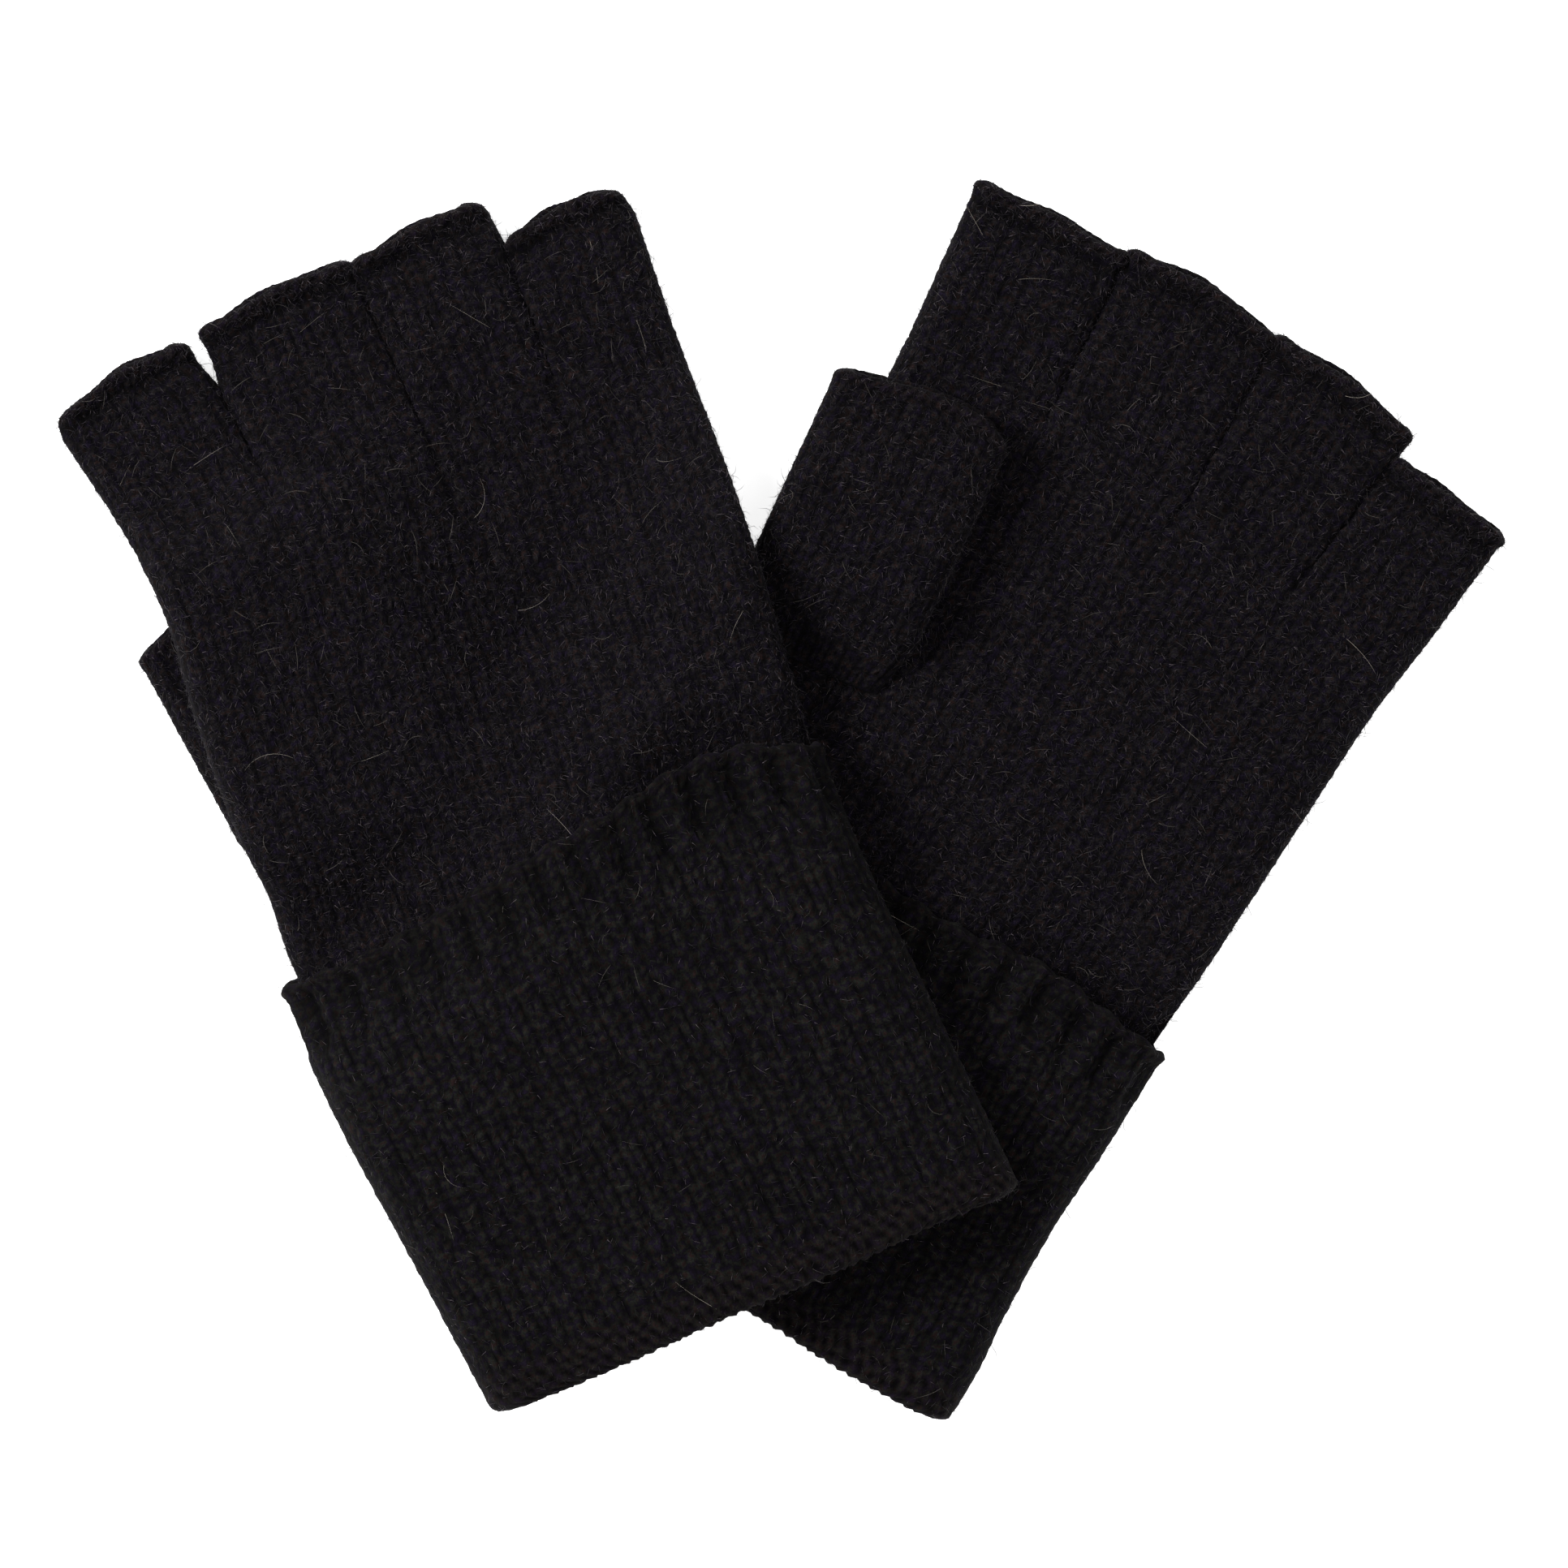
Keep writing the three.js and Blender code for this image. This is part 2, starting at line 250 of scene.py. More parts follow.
LAYERS = Layers()
HAND_GAUGE = Gauge(wale=2.75, course=1.75)
CUFF_GAUGE = Gauge(wale=2.95, course=1.95)
KNUCKLE_V = 139.0
FINGER_GAP = 0.7
CUFF_HALF_WIDTH = 42.3
CUFF_FLARE = 2.6
WRIST_LENGTH = 58.0
THUMB_WIDTH = 28.4
THUMB_LENGTH = 29.0
THUMB_LEAN = math.radians(5.2)
THUMB_ROOT_LENGTH = 7.0
LEAST_STEP = 1.5
INNER_STEP = 3.0
ROLL = np.linspace(-math.pi / 2, math.pi / 2, 7)[1:-1]
# The attributes each wall carries; one of them is painted shade that darkens stitches in grooves and hollows.
KNIT_KEYS = ("wale", "course", "relief", "purl", "sunk", "fuzz")
LEAST_FIBRE_HEIGHT = 0.1  # in mm: fibres that reach lower lie flat on the surface
PRESSED_SHARE = 0.02


# ---------------------------------------------------------------- one glove's outline
@dataclass(frozen=True)
class GloveForm:
    """Where one glove lies, which side of it is up, and its outline in its own frame, in mm."""

    prefix: str
    palm_up: bool
    seed: int
    cuff_length: float
    cuff_lean: float
    knuckle_middle: float
    thumb_middle: float
    thumb_v: float
    cuff_left: Points
    cuff_right: Points
    hand_left: Points
    hand_right: Points
    rib_line: Points
    fold_line: Points
    thumb_tip: Points
    crease_start: float
    crease_width: float
    creases: tuple[Points, ...]
    gap_starts: tuple[float, float, float]
    fingers: dict[Finger, FingerCut]
    foot: tuple[float, float] = (0.0, 0.0)
    turn: float = 0.0

    @property
    def knuckle_width(self) -> float:
        """Width of the four sleeves side by side."""
        return sum(cut.width + FINGER_GAP for cut in self.fingers.values()) - FINGER_GAP

    def finger_root(self, finger: Finger) -> tuple[float, float]:
        """Where a finger sleeve starts at the knuckles.

        Args:
            finger: Which finger.

        Returns:
            Its left and right edges, in mm.
        """
        left = self.knuckle_middle - self.knuckle_width / 2
        for other, cut in self.fingers.items():
            if other is finger:
                break
            left += cut.width + FINGER_GAP
        return left, left + self.fingers[finger].width

    def to_row(self, u: np.ndarray, v: np.ndarray) -> tuple[np.ndarray, np.ndarray]:
        """Returns the place of (u, v) on the surface, in mm."""
        c, s = math.cos(self.turn), math.sin(self.turn)
        return self.foot[0] + u * c - v * s, self.foot[1] + u * s + v * c

    def to_local(self, x: np.ndarray, y: np.ndarray) -> tuple[np.ndarray, np.ndarray]:
        """Turns places on the surface to the glove's frame.

        Args:
            x: Places to the right on the surface, in mm.
            y: Places to the back on the surface, in mm.

        Returns:
            The places (u, v) in the glove's frame, in mm.
        """
        c, s = math.cos(self.turn), math.sin(self.turn)
        x, y = x - self.foot[0], y - self.foot[1]
        return x * c + y * s, y * c - x * s

    def point(self, u: float, v: float, z: float) -> Vector:
        """Returns a point of the glove's frame in the row frame, in metres."""
        x, y = self.to_row(u, v)
        return Vector((x, y, z)) * MM

    def thumb_place(self, x: np.ndarray, y: np.ndarray) -> tuple[np.ndarray, np.ndarray]:
        """Returns (u, v) of a place x across and y along the thumb."""
        c, s = math.cos(THUMB_LEAN), math.sin(THUMB_LEAN)
        return self.thumb_middle + x * c - y * s, self.thumb_v + x * s + y * c

    def laid(self, joints: list[dict]) -> GloveForm:
        """The same glove, laid where the frame has it.

        Args:
            joints: The frame's joints. The middle finger's hinge gives the glove's turn and place.

        Returns:
            The glove with its foot and turn.
        """
        hinge = next(j for j in joints if j["name"] == f"{self.prefix}_middle_fold")
        turn = math.atan2(hinge["axis"][1], hinge["axis"][0])
        u = sum(self.finger_root(Finger.MIDDLE)) / 2
        c, s = math.cos(turn), math.sin(turn)
        x, y = (value / MM for value in hinge["pos_m"][:2])
        foot = (x - u * c + KNUCKLE_V * s, y - u * s - KNUCKLE_V * c)
        return GloveForm(**{**self.__dict__, "foot": foot, "turn": turn})


LEFT_FORM = GloveForm(
    prefix="left",
    palm_up=True,
    seed=11,
    cuff_length=66.0,
    cuff_lean=-2.0,
    knuckle_middle=1.0,
    thumb_middle=-34.6,
    thumb_v=101.0,
    cuff_left=((0, -42.3), (8, -43.2), (33, -44.9), (66, -46.9)),
    cuff_right=((0, 42.3), (6, 42.7), (18, 42.0), (30, 41.7), (48, 42.6), (66, 43.2)),
    hand_left=((58, -43.9), (90, -44.2), (120, -43.9), (139, -44.7)),
    hand_right=((58, 40.6), (68, 41.2), (78, 42.2), (90, 42.9), (108, 43.9), (126, 45.0), (139, 46.8)),
    rib_line=((-47, 0.0), (-20, 0.8), (5, -0.6), (22, 0.9), (33, -0.6), (43, -2.0)),
    fold_line=((-42, -0.8), (-10, -1.3), (10, -0.7), (25, -1.3), (42, -0.9)),
    thumb_tip=((-14.2, 0.9), (-6.7, 2.5), (2.5, 3.9), (10.8, 2.7), (14.2, 0.4)),
    crease_start=128.0,
    crease_width=0.26,
    creases=(
        ((118, -23.2), (133, -21.8), (139, -20.4)),
        ((118, 4.6), (139, 4.3)),
        ((118, 23.6), (133, 24.9), (139, 25.6)),
    ),
    gap_starts=(178.0, 178.0, 175.0),
    fingers={
        Finger.INDEX: FingerCut(23.0, (-47.4, -22.2), (165.2, 166.6, 166.4), (1.8, 1.0)),
        Finger.MIDDLE: FingerCut(24.0, (-21.6, 3.5), (167.4, 169.0, 166.8), (1.2, 1.4)),
        Finger.RING: FingerCut(20.6, (4.1, 28.5), (167.2, 167.4, 164.6), (1.0, 1.6)),
        Finger.LITTLE: FingerCut(19.8, (29.1, 48.9), (160.2, 159.9, 158.2), (1.0, 1.8)),
    },
)

RIGHT_FORM = GloveForm(
    prefix="right",
    palm_up=False,
    seed=23,
    cuff_length=72.0,
    cuff_lean=-3.4,
    knuckle_middle=2.1,
    thumb_middle=-31.6,
    thumb_v=99.0,
    cuff_left=((0, -43.8), (12, -44.7), (24, -45.6), (36, -46.6), (48, -47.6), (66, -48.5), (72, -48.4)),
    cuff_right=((0, 42.3), (30, 41.3), (58, 40.6), (72, 41.4)),
    hand_left=(
        (58, -44.8),
        (76, -45.0),
        (84, -44.0),
        (92, -44.4),
        (112, -43.4),
        (130, -41.3),
        (139, -41.8),
    ),
    hand_right=((58, 38.9), (74, 40.2), (90, 42.4), (104, 44.1), (139, 46.2)),
    rib_line=(
        (-47, -1.6),
        (-36, -1.7),
        (-19, -0.2),
        (-7, 1.6),
        (8, 3.2),
        (21, 5.1),
        (30, 4.4),
        (37, 1.5),
        (42, -0.2),
    ),
    fold_line=((-42, -1.2), (-22, -1.3), (-4, -1.0), (14, -1.2), (30, -0.6), (42, -1.2)),
    thumb_tip=((-14.2, -1.4), (0, 2.0), (14.2, 0.0)),
    crease_start=114.0,
    crease_width=0.42,
    creases=(
        ((118, -15.6), (130, -17.4), (139, -19.2)),
        ((118, 7.4), (139, 5.4)),
        ((118, 23.4), (130, 25.2), (139, 26.6)),
    ),
    gap_starts=(164.5, 178.0, 170.0),
    fingers={
        Finger.INDEX: FingerCut(23.0, (-46.2, -22.4), (163.8, 166.8, 166.4), (5.0, 2.4)),
        Finger.MIDDLE: FingerCut(24.0, (-20.2, 4.6), (166.9, 168.8, 168.0), (1.4, 2.4)),
        Finger.RING: FingerCut(20.6, (5.4, 27.2), (167.2, 168.9, 168.4), (2.4, 3.2)),
        Finger.LITTLE: FingerCut(19.8, (27.8, 48.2), (161.2, 163.0, 162.2), (3.2, 6.0)),
    },
)


# ---------------------------------------------------------------- how the layers lie
@dataclass(frozen=True)
class Lie:
    """How high each place of a glove lies: flat on the surface, or settled over the other glove."""

    form: GloveForm
    low: GloveForm
    bed_round: float = 2.0
    fall_at_cuff: float = 75.0
    fall_at_hand: float = 30.0
    fall_change: tuple[float, float] = (10.0, 90.0)
    sag: float = 2.2
    sag_margin: float = 6.0
    slope: float = 18.0
    thumb_slope: float = 27.0
    thumb_margin: float = 3.0
    unevenness: float = 0.9
    wave_length: float = 34.0
    least_height: float = 0.03

    def cuff_left(self, v: np.ndarray) -> np.ndarray:
        """Returns the left edge of the lower glove's cuff at v."""
        t = smooth(v / self.low.cuff_length)
        return self.low.cuff_lean * t - CUFF_HALF_WIDTH - CUFF_FLARE * t

    def bed(self, u: np.ndarray, v: np.ndarray) -> np.ndarray:
        """Height of what the glove lies on, apart from its own thumb.

        Args:
            u: Places across the glove, in mm.
            v: Places along the glove, in mm.

        Returns:
            The height at each place, in mm.
        """
        if self.form.palm_up:
            return np.zeros(np.broadcast(u, v).shape)
        low_u, low_v = self.low.to_local(*self.form.to_row(u, v))
        root = self.low.thumb_v - THUMB_ROOT_LENGTH - LEAST_STEP
        on_thumb = smooth((low_v - root) / (self.low.thumb_v - root))
        edge = lerp(self.cuff_left(low_v), self.low.thumb_middle - THUMB_WIDTH / 2, on_thumb)
        past_edge = np.maximum(0, edge - low_u + self.bed_round)
        past_fold = np.maximum(0, self.bed_round - low_v)
        first, last = self.fall_change
        fall = lerp(self.fall_at_cuff, self.fall_at_hand, smooth((v - first) / (last - first)))
        dip_start = self.low.cuff_length + self.sag_margin
        along = np.clip((low_v - dip_start) / (root - dip_start), 0, 1)
        dip = self.sag * np.sin(math.pi * along) ** 2
        rise = LAYERS.tube + LAYERS.thumb_step - LAYERS.cuff
        top = LAYERS.cuff + LAYERS.clearance - dip + rise * on_thumb
        return top * (1 - smooth(np.hypot(past_edge, past_fold) / fall))

    def hand_lift(self, u: np.ndarray, v: np.ndarray) -> np.ndarray:
        """Height of the bottom of the hand and fingers, over the bed and the glove's own thumb.

        Args:
            u: Places across the glove, in mm.
            v: Places along the glove, in mm.

        Returns:
            The height at each place, in mm.
        """
        bed = self.bed(u, v)
        if self.form.palm_up:
            return bed
        form = self.form
        inner_edge = form.thumb_middle + THUMB_WIDTH / 2 + self.thumb_margin
        start = form.thumb_v - THUMB_ROOT_LENGTH - LEAST_STEP
        end = form.thumb_place(THUMB_WIDTH / 2, THUMB_LENGTH + LAYERS.clearance)[1]
        across = 1 - smooth((u - inner_edge) / self.thumb_slope)
        rise = smooth((v - form.cuff_length) / (start - form.cuff_length))
        fall = 1 - smooth((v - end) / (self.slope + self.thumb_margin))
        thumb = LAYERS.thumb_step * across * rise * fall
        most = LAYERS.cuff + LAYERS.clearance + LAYERS.thumb_step
        return bed + thumb - bed * thumb / most

    def settled(self, u: np.ndarray, v: np.ndarray, z: np.ndarray, lift: np.ndarray) -> np.ndarray:
        """Height of a point of a layer once the soft glove has settled.

        Args:
            u: Places across the glove, in mm.
            v: Places along the glove, in mm.
            z: Heights over the bottom of the glove, in mm.
            lift: Heights of that bottom, in mm.

        Returns:
            The heights over the surface, in mm, never below it.
        """
        slack = self.unevenness * (0.5 + 0.5 * ripple(u, v, self.form.seed, self.wave_length))
        return np.maximum(lift + z - slack * smooth(z / LAYERS.tube), self.least_height)


# ---------------------------------------------------------------- meshes of knitted walls
@dataclass
class Profile:
    """A closed path through the thickness of a wall: along the piece, and inward from its outside."""

    along: np.ndarray
    inset: np.ndarray
    outside: np.ndarray

    @staticmethod
    def joined(*runs: tuple[np.ndarray, np.ndarray, float]) -> Profile:
        """Joins runs to one path.

        Args:
            runs: For each run its places along, its insets, and its share of the outside's stitches.

        Returns:
            The path through all of them in order.
        """
        along = np.concatenate([np.asarray(run[0], float) for run in runs])
        inset = np.concatenate([np.broadcast_to(run[1], np.shape(run[0])) for run in runs])
        outside = np.concatenate([np.full(len(run[0]), run[2]) for run in runs])
        return Profile(along, inset.astype(float), outside)


def spaced(start: float, end: float, step: float) -> np.ndarray:
    """Returns evenly spaced places from start to end, about a step apart."""
    return np.linspace(start, end, max(2, math.ceil(abs(end - start) / step) + 1))


def tube_profile(start: float, end: float, gauge: Gauge, depth: float = 0.0) -> Profile:
    """The path through the wall of a tube that is open at both ends.

    Args:
        start: Where the tube starts, in mm.
        end: Where it ends, in mm.
        gauge: Its stitches.
        depth: How far inside the outline the wall lies, in mm.

    Returns:
        The path, with rolled edges.
    """
    r = LAYERS.wall / 2
    outer = spaced(start + r, end - r, gauge.course / gauge.along)
    inner = spaced(end - r, start + r, INNER_STEP)
    return Profile.joined(
        (outer, depth, 1.0),
        (end - r + r * np.cos(ROLL), depth + r + r * np.sin(ROLL), 0.5),
        (inner, depth + LAYERS.wall, 0.0),
        (start + r - r * np.cos(ROLL), depth + r - r * np.sin(ROLL), 0.0),
    )


def cuff_profile(end: float, gauge: Gauge, inner_step: float) -> Profile:
    """The path through the wall of a turned-up cuff, from its free edge round the roll of its fold.

    Args:
        end: The free edge, in mm from the fold.
        gauge: Its stitches.
        inner_step: From one point to the next inside, in mm.

    Returns:
        The path. It meets the wrist's own layer inside the fold.
    """
    r = LAYERS.wall / 2
    fold = (LAYERS.wall + LAYERS.step) / 2
    hollow = fold - LAYERS.wall
    step = gauge.course / gauge.along
    turn = spaced(0, math.pi, step / fold)[1:]
    back = np.linspace(math.pi, 0, 6)
    return Profile.joined(
        (spaced(end - r, fold, step), 0.0, 1.0),
        (fold - fold * np.sin(turn), fold - fold * np.cos(turn), 1.0),
        (fold - hollow * np.sin(back), fold - hollow * np.cos(back), 0.0),
        (spaced(fold + inner_step, end - r, inner_step), LAYERS.wall, 0.0),
        (end - r + r * np.cos(ROLL[::-1]), r + r * np.sin(ROLL[::-1]), 0.5),
    )


def flat_ring(
    share: np.ndarray, left: np.ndarray, right: np.ndarray, bottom: np.ndarray, top: np.ndarray
) -> tuple[np.ndarray, np.ndarray]:
    """Places round a flattened tube with round sides, evenly spaced along its outline.

    Args:
        share: How far round, from 0 at the right-hand side, over the top, to 1.
        left: Left edges of the tube, in mm.
        right: Right edges, in mm.
        bottom: Heights of its lower face, in mm.
        top: Heights of its upper face, in mm.

    Returns:
        The places across and their heights, in mm.
    """
    radius = np.maximum((top - bottom) / 2, 0.3)
    flat = right - left - 2 * radius
    over = np.where(share <= 0.5, share, 1 - share)
    walked = 2 * over * (flat + math.pi * radius)
    quarter = math.pi / 2 * radius
    angle = np.clip(walked / radius, 0, math.pi / 2)
    angle = angle + np.clip((walked - quarter - flat) / radius, 0, math.pi / 2)
    middle = right - radius - np.clip(walked - quarter, 0, flat)
    rise = radius * np.sin(angle)
    height = (top + bottom) / 2 + np.where(share <= 0.5, rise, -rise)
    return middle + radius * np.cos(angle), height


@dataclass
class Wall:
    """A grid of points over a knitted wall, with what its stitches and fibres need."""

    points: np.ndarray
    wale: np.ndarray
    course: np.ndarray
    relief: np.ndarray
    purl: np.ndarray | float
    # painted shade of the knitting in grooves and hollows, from 0 to 1
    sunk: np.ndarray | float
    fuzz: np.ndarray | float
    closed: bool

    def object(self, name: str) -> bpy.types.Object:
        """The wall as a closed mesh.

        Args:
            name: The piece's name.

        Returns:
            The new object, with its stitch map and attributes.
        """
        rows, columns = self.points.shape[:2]
        spans = columns if self.closed else columns - 1
        i, j = np.meshgrid(np.arange(rows), np.arange(spans), indexing="ij")
        i2, j2 = (i + 1) % rows, (j + 1) % columns
        corners = [(i, j, j), (i, j2, j + 1), (i2, j2, j + 1), (i2, j, j)]
        quads = np.stack([a * columns + b for a, b, _ in corners], -1).reshape(-1, 4)
        flat = self.points.reshape(-1, 3)
        centre = flat[quads].mean(1)
        normal = np.cross(flat[quads[:, 2]] - flat[quads[:, 0]], flat[quads[:, 3]] - flat[quads[:, 1]])
        outward = (centre * normal).sum() > 0
        wale_round = self.wale[-1, -1] * columns / (columns - 1) if self.closed else None
        wale = np.column_stack([self.wale, np.full(rows, wale_round)]) if self.closed else self.wale
        uv = np.stack([np.stack([wale[a, c], self.course[a, b]], -1) for a, b, c in corners], -2)
        uv = uv.reshape(-1, 4, 2)
        if not outward:
            quads, uv = quads[:, ::-1], uv[:, ::-1]
        faces = quads.tolist()
        if not self.closed:
            start = [row * columns for row in range(rows)]
            end = [row * columns + columns - 1 for row in reversed(range(rows))]
            faces += [side[::-1] if outward else side for side in (start, end)]
        mesh = bpy.data.meshes.new(name)
        mesh.from_pydata(flat * MM, [], faces)
        layer = mesh.uv_layers.new(name="knit")
        values = np.zeros((len(mesh.loops), 2), np.float32)
        values[: uv.size // 2] = uv.reshape(-1, 2)
        layer.data.foreach_set("uv", values.ravel())
        for key in KNIT_KEYS:
            data = np.broadcast_to(getattr(self, key), (rows, columns)).astype(np.float32)
            mesh.attributes.new(key, "FLOAT", "POINT").data.foreach_set("value", data.ravel())
        mesh.shade_smooth()
        mesh.validate()
        made = bpy.data.objects.new(name, mesh)
        bpy.context.scene.collection.objects.link(made)
        return made


@dataclass
class Grid:
    """The coordinates of a wall's grid: how far round it as a row, and how far along it as a column."""

    share: np.ndarray
    wale: np.ndarray
    course: np.ndarray
    along: np.ndarray
    inset: np.ndarray
    outside: np.ndarray
    closed: bool


def wall_grid(profile: Profile, girth: float, gauge: Gauge, half: Half = Half.WHOLE) -> Grid:
    """Spreads a grid over a wall, a few points to each stitch.

    Args:
        profile: The path through the wall.
        girth: Length round the whole tube, in mm.
        gauge: Its stitches.
        half: Which part of the tube the wall takes up.

    Returns:
        The grid's coordinates.
    """
    first, last = half.value
    stitches = gauge.stitches_round(girth)
    spans = round(stitches * gauge.across * (last - first))
    share = np.linspace(first, last, spans + 1)
    if half is Half.WHOLE:
        share = share[:-1]
    gone = np.hypot(np.diff(profile.along, prepend=profile.along[0]), np.diff(profile.inset, prepend=0.0))
    return Grid(
        share=share[None, :],
        wale=share[None, :] * stitches,
        course=np.cumsum(gone)[:, None] / gauge.course,
        along=profile.along[:, None],
        inset=profile.inset[:, None],
        outside=profile.outside[:, None],
        closed=half is Half.WHOLE,
    )


# ---------------------------------------------------------------- geometry node trees
class StitchTree:
    """Geometry Nodes that raise the stitches of a knitted wall along its wales and courses.

    Each step below is a sum: its name, what it does, and the numbers or earlier names it does it with.
    """

    LEGS = (
        ("turn", "MULTIPLY", "wale", TAU),
        ("wave", "SINE", "turn"),
        ("wave size", "ABSOLUTE", "wave"),
        ("legs", "POWER", "wave size", 0.55),
        ("in wale", "FRACT", "wale"),
        ("off middle", "MULTIPLY_ADD", "in wale", 2.0, -1.0),
        ("slant", "ABSOLUTE", "off middle"),
        ("phase", "MULTIPLY_ADD", "slant", 0.55, "course"),
        ("legs passed", "MULTIPLY", "wale", 2.0),
        ("leg number", "FLOOR", "legs passed"),
        ("rows passed", "ADD", "phase", 0.5),
        ("row number", "FLOOR", "rows passed"),
    )
    PLAIN_AND_PURL = (
        ("unevenness", "MULTIPLY_ADD", "chance", 0.7, 0.55),
        ("phase turn", "MULTIPLY", "phase", TAU),
        ("beat", "COSINE", "phase turn"),
        ("rise", "MULTIPLY_ADD", "beat", 0.3, 0.7),
        ("even leg", "MULTIPLY", "legs", "rise"),
        ("uneven leg", "MULTIPLY", "even leg", "unevenness"),
        ("across wale", "COSINE", "turn"),
        ("column", "MULTIPLY_ADD", "across wale", -0.3, 0.95),
        ("plain", "MULTIPLY", "uneven leg", "column"),
        ("sway", "MULTIPLY_ADD", "wave", 0.16, "course"),
        ("sway turn", "MULTIPLY", "sway", TAU),
        ("bars", "COSINE", "sway turn"),
        ("plies", "MULTIPLY_ADD", "wale", 3.0, "course"),
        ("plies turn", "MULTIPLY", "plies", math.pi),
        ("ply", "COSINE", "plies turn"),
        ("ply height", "MULTIPLY_ADD", "ply", 0.3, 0.45),
        ("bar height", "MULTIPLY_ADD", "bars", 0.22, "ply height"),
    )
    HEIGHTS = (
        # Painted shade: knitting in grooves and hollows keeps less of its brightness.
        ("shown", "MULTIPLY_ADD", "sunk", -0.55, 1.0),
        ("raised", "MULTIPLY", "high", "shown"),
        ("off mean", "SUBTRACT", "high", 0.55),
        ("in relief", "MULTIPLY", "off mean", "relief"),
        ("step", "MULTIPLY", "in relief", "stitch height"),
    )

    def __init__(self) -> None:
        """Builds the tree once, for every piece."""
        self.tree = bpy.data.node_groups.new("raised stitches", "GeometryNodeTree")
        face = self.tree.interface
        face.new_socket("Wall", in_out="INPUT", socket_type="NodeSocketGeometry")
        self.height = face.new_socket("Stitch height", in_out="INPUT", socket_type="NodeSocketFloat")
        self.yarn = face.new_socket("Yarn", in_out="INPUT", socket_type="NodeSocketMaterial")
        face.new_socket("Wall", in_out="OUTPUT", socket_type="NodeSocketGeometry")
        self._fill()

    def _work_out(self, known: dict[str, bpy.types.NodeSocket], steps: tuple[tuple, ...]) -> None:
        """Adds the sums of some steps to the tree.

        Args:
            known: The outputs that are known by name. The results are added to it.
            steps: The steps.
        """
        for name, operation, *terms in steps:
            links = {number: known.get(term, term) for number, term in enumerate(terms)}
            known[name] = add(self.tree, "ShaderNodeMath", links, operation=operation).outputs[0]

    def _fill(self) -> None:
        """Adds the nodes: two slanting legs to each stitch, and flat bars where the purl side shows."""
        tree = self.tree
        given = add(tree, "NodeGroupInput")
        known = {"stitch height": given.outputs["Stitch height"]}
        for key in ("wale", "course", "relief", "purl", "sunk"):
            read = add(tree, "GeometryNodeInputNamedAttribute", {"Name": key}, data_type="FLOAT")
            known[key] = read.outputs[0]
        self._work_out(known, self.LEGS)
        leg = add(tree, "ShaderNodeCombineXYZ", {0: known["leg number"], 1: known["row number"]})
        chance = add(tree, "ShaderNodeTexWhiteNoise", {"Vector": leg.outputs[0]}, noise_dimensions="2D")
        known["chance"] = chance.outputs["Value"]
        self._work_out(known, self.PLAIN_AND_PURL)
        high = add(tree, "ShaderNodeMix", {0: known["purl"], 2: known["plain"], 3: known["bar height"]})
        known["high"] = high.outputs[0]
        self._work_out(known, self.HEIGHTS)
        normal = add(tree, "GeometryNodeInputNormal").outputs[0]
        offset = add(tree, "ShaderNodeVectorMath", {0: normal, "Scale": known["step"]}, operation="SCALE")
        moving = {"Geometry": given.outputs["Wall"], "Offset": offset.outputs[0]}
        moved = add(tree, "GeometryNodeSetPosition", moving)
        # The stored value gives the yarn its painted shade between the stitches.
        keeping = {"Geometry": moved.outputs[0], "Name": "raised", "Value": known["raised"]}
        kept = add(tree, "GeometryNodeStoreNamedAttribute", keeping, data_type="FLOAT", domain="POINT")
        whole = add(tree, "GeometryNodeRealizeInstances", {0: kept.outputs[0]})
        yarn = {"Geometry": whole.outputs[0], "Material": given.outputs["Yarn"]}
        dressed = add(tree, "GeometryNodeSetMaterial", yarn)
        add(tree, "NodeGroupOutput", {0: dressed.outputs[0]})

    def apply(self, piece: bpy.types.Object, height: float, yarn: bpy.types.Material) -> None:
        """Raises the stitches of a piece.

        Args:
            piece: The wall, whose mesh is exchanged.
            height: Height of a stitch, in mm.
            yarn: The material of the wall.
        """
        settings = {self.height.identifier: height * MM, self.yarn.identifier: yarn}
        grown = applied(piece, self.tree, settings, piece.name)
        old = piece.data
        piece.data = grown
        bpy.data.meshes.remove(old)
        grown.name = piece.name


def applied(piece: bpy.types.Object, tree: bpy.types.NodeTree, settings: dict, name: str) -> bpy.types.Mesh:
    """The result of a tree on a piece, as a plain mesh.

    Args:
        piece: The object the tree reads.
        tree: The Geometry Nodes tree.
        settings: The value of each input, by its identifier.
        name: Name of the new mesh.

    Returns:
        The new mesh. The piece keeps no modifier.
    """
    modifier = piece.modifiers.new(name, "NODES")
    modifier.node_group = tree
    for identifier, value in settings.items():
        modifier[identifier] = value
    graph = bpy.context.evaluated_depsgraph_get()
    mesh = bpy.data.meshes.new_from_object(piece.evaluated_get(graph))
    mesh.name = name
    piece.modifiers.remove(modifier)
    return mesh


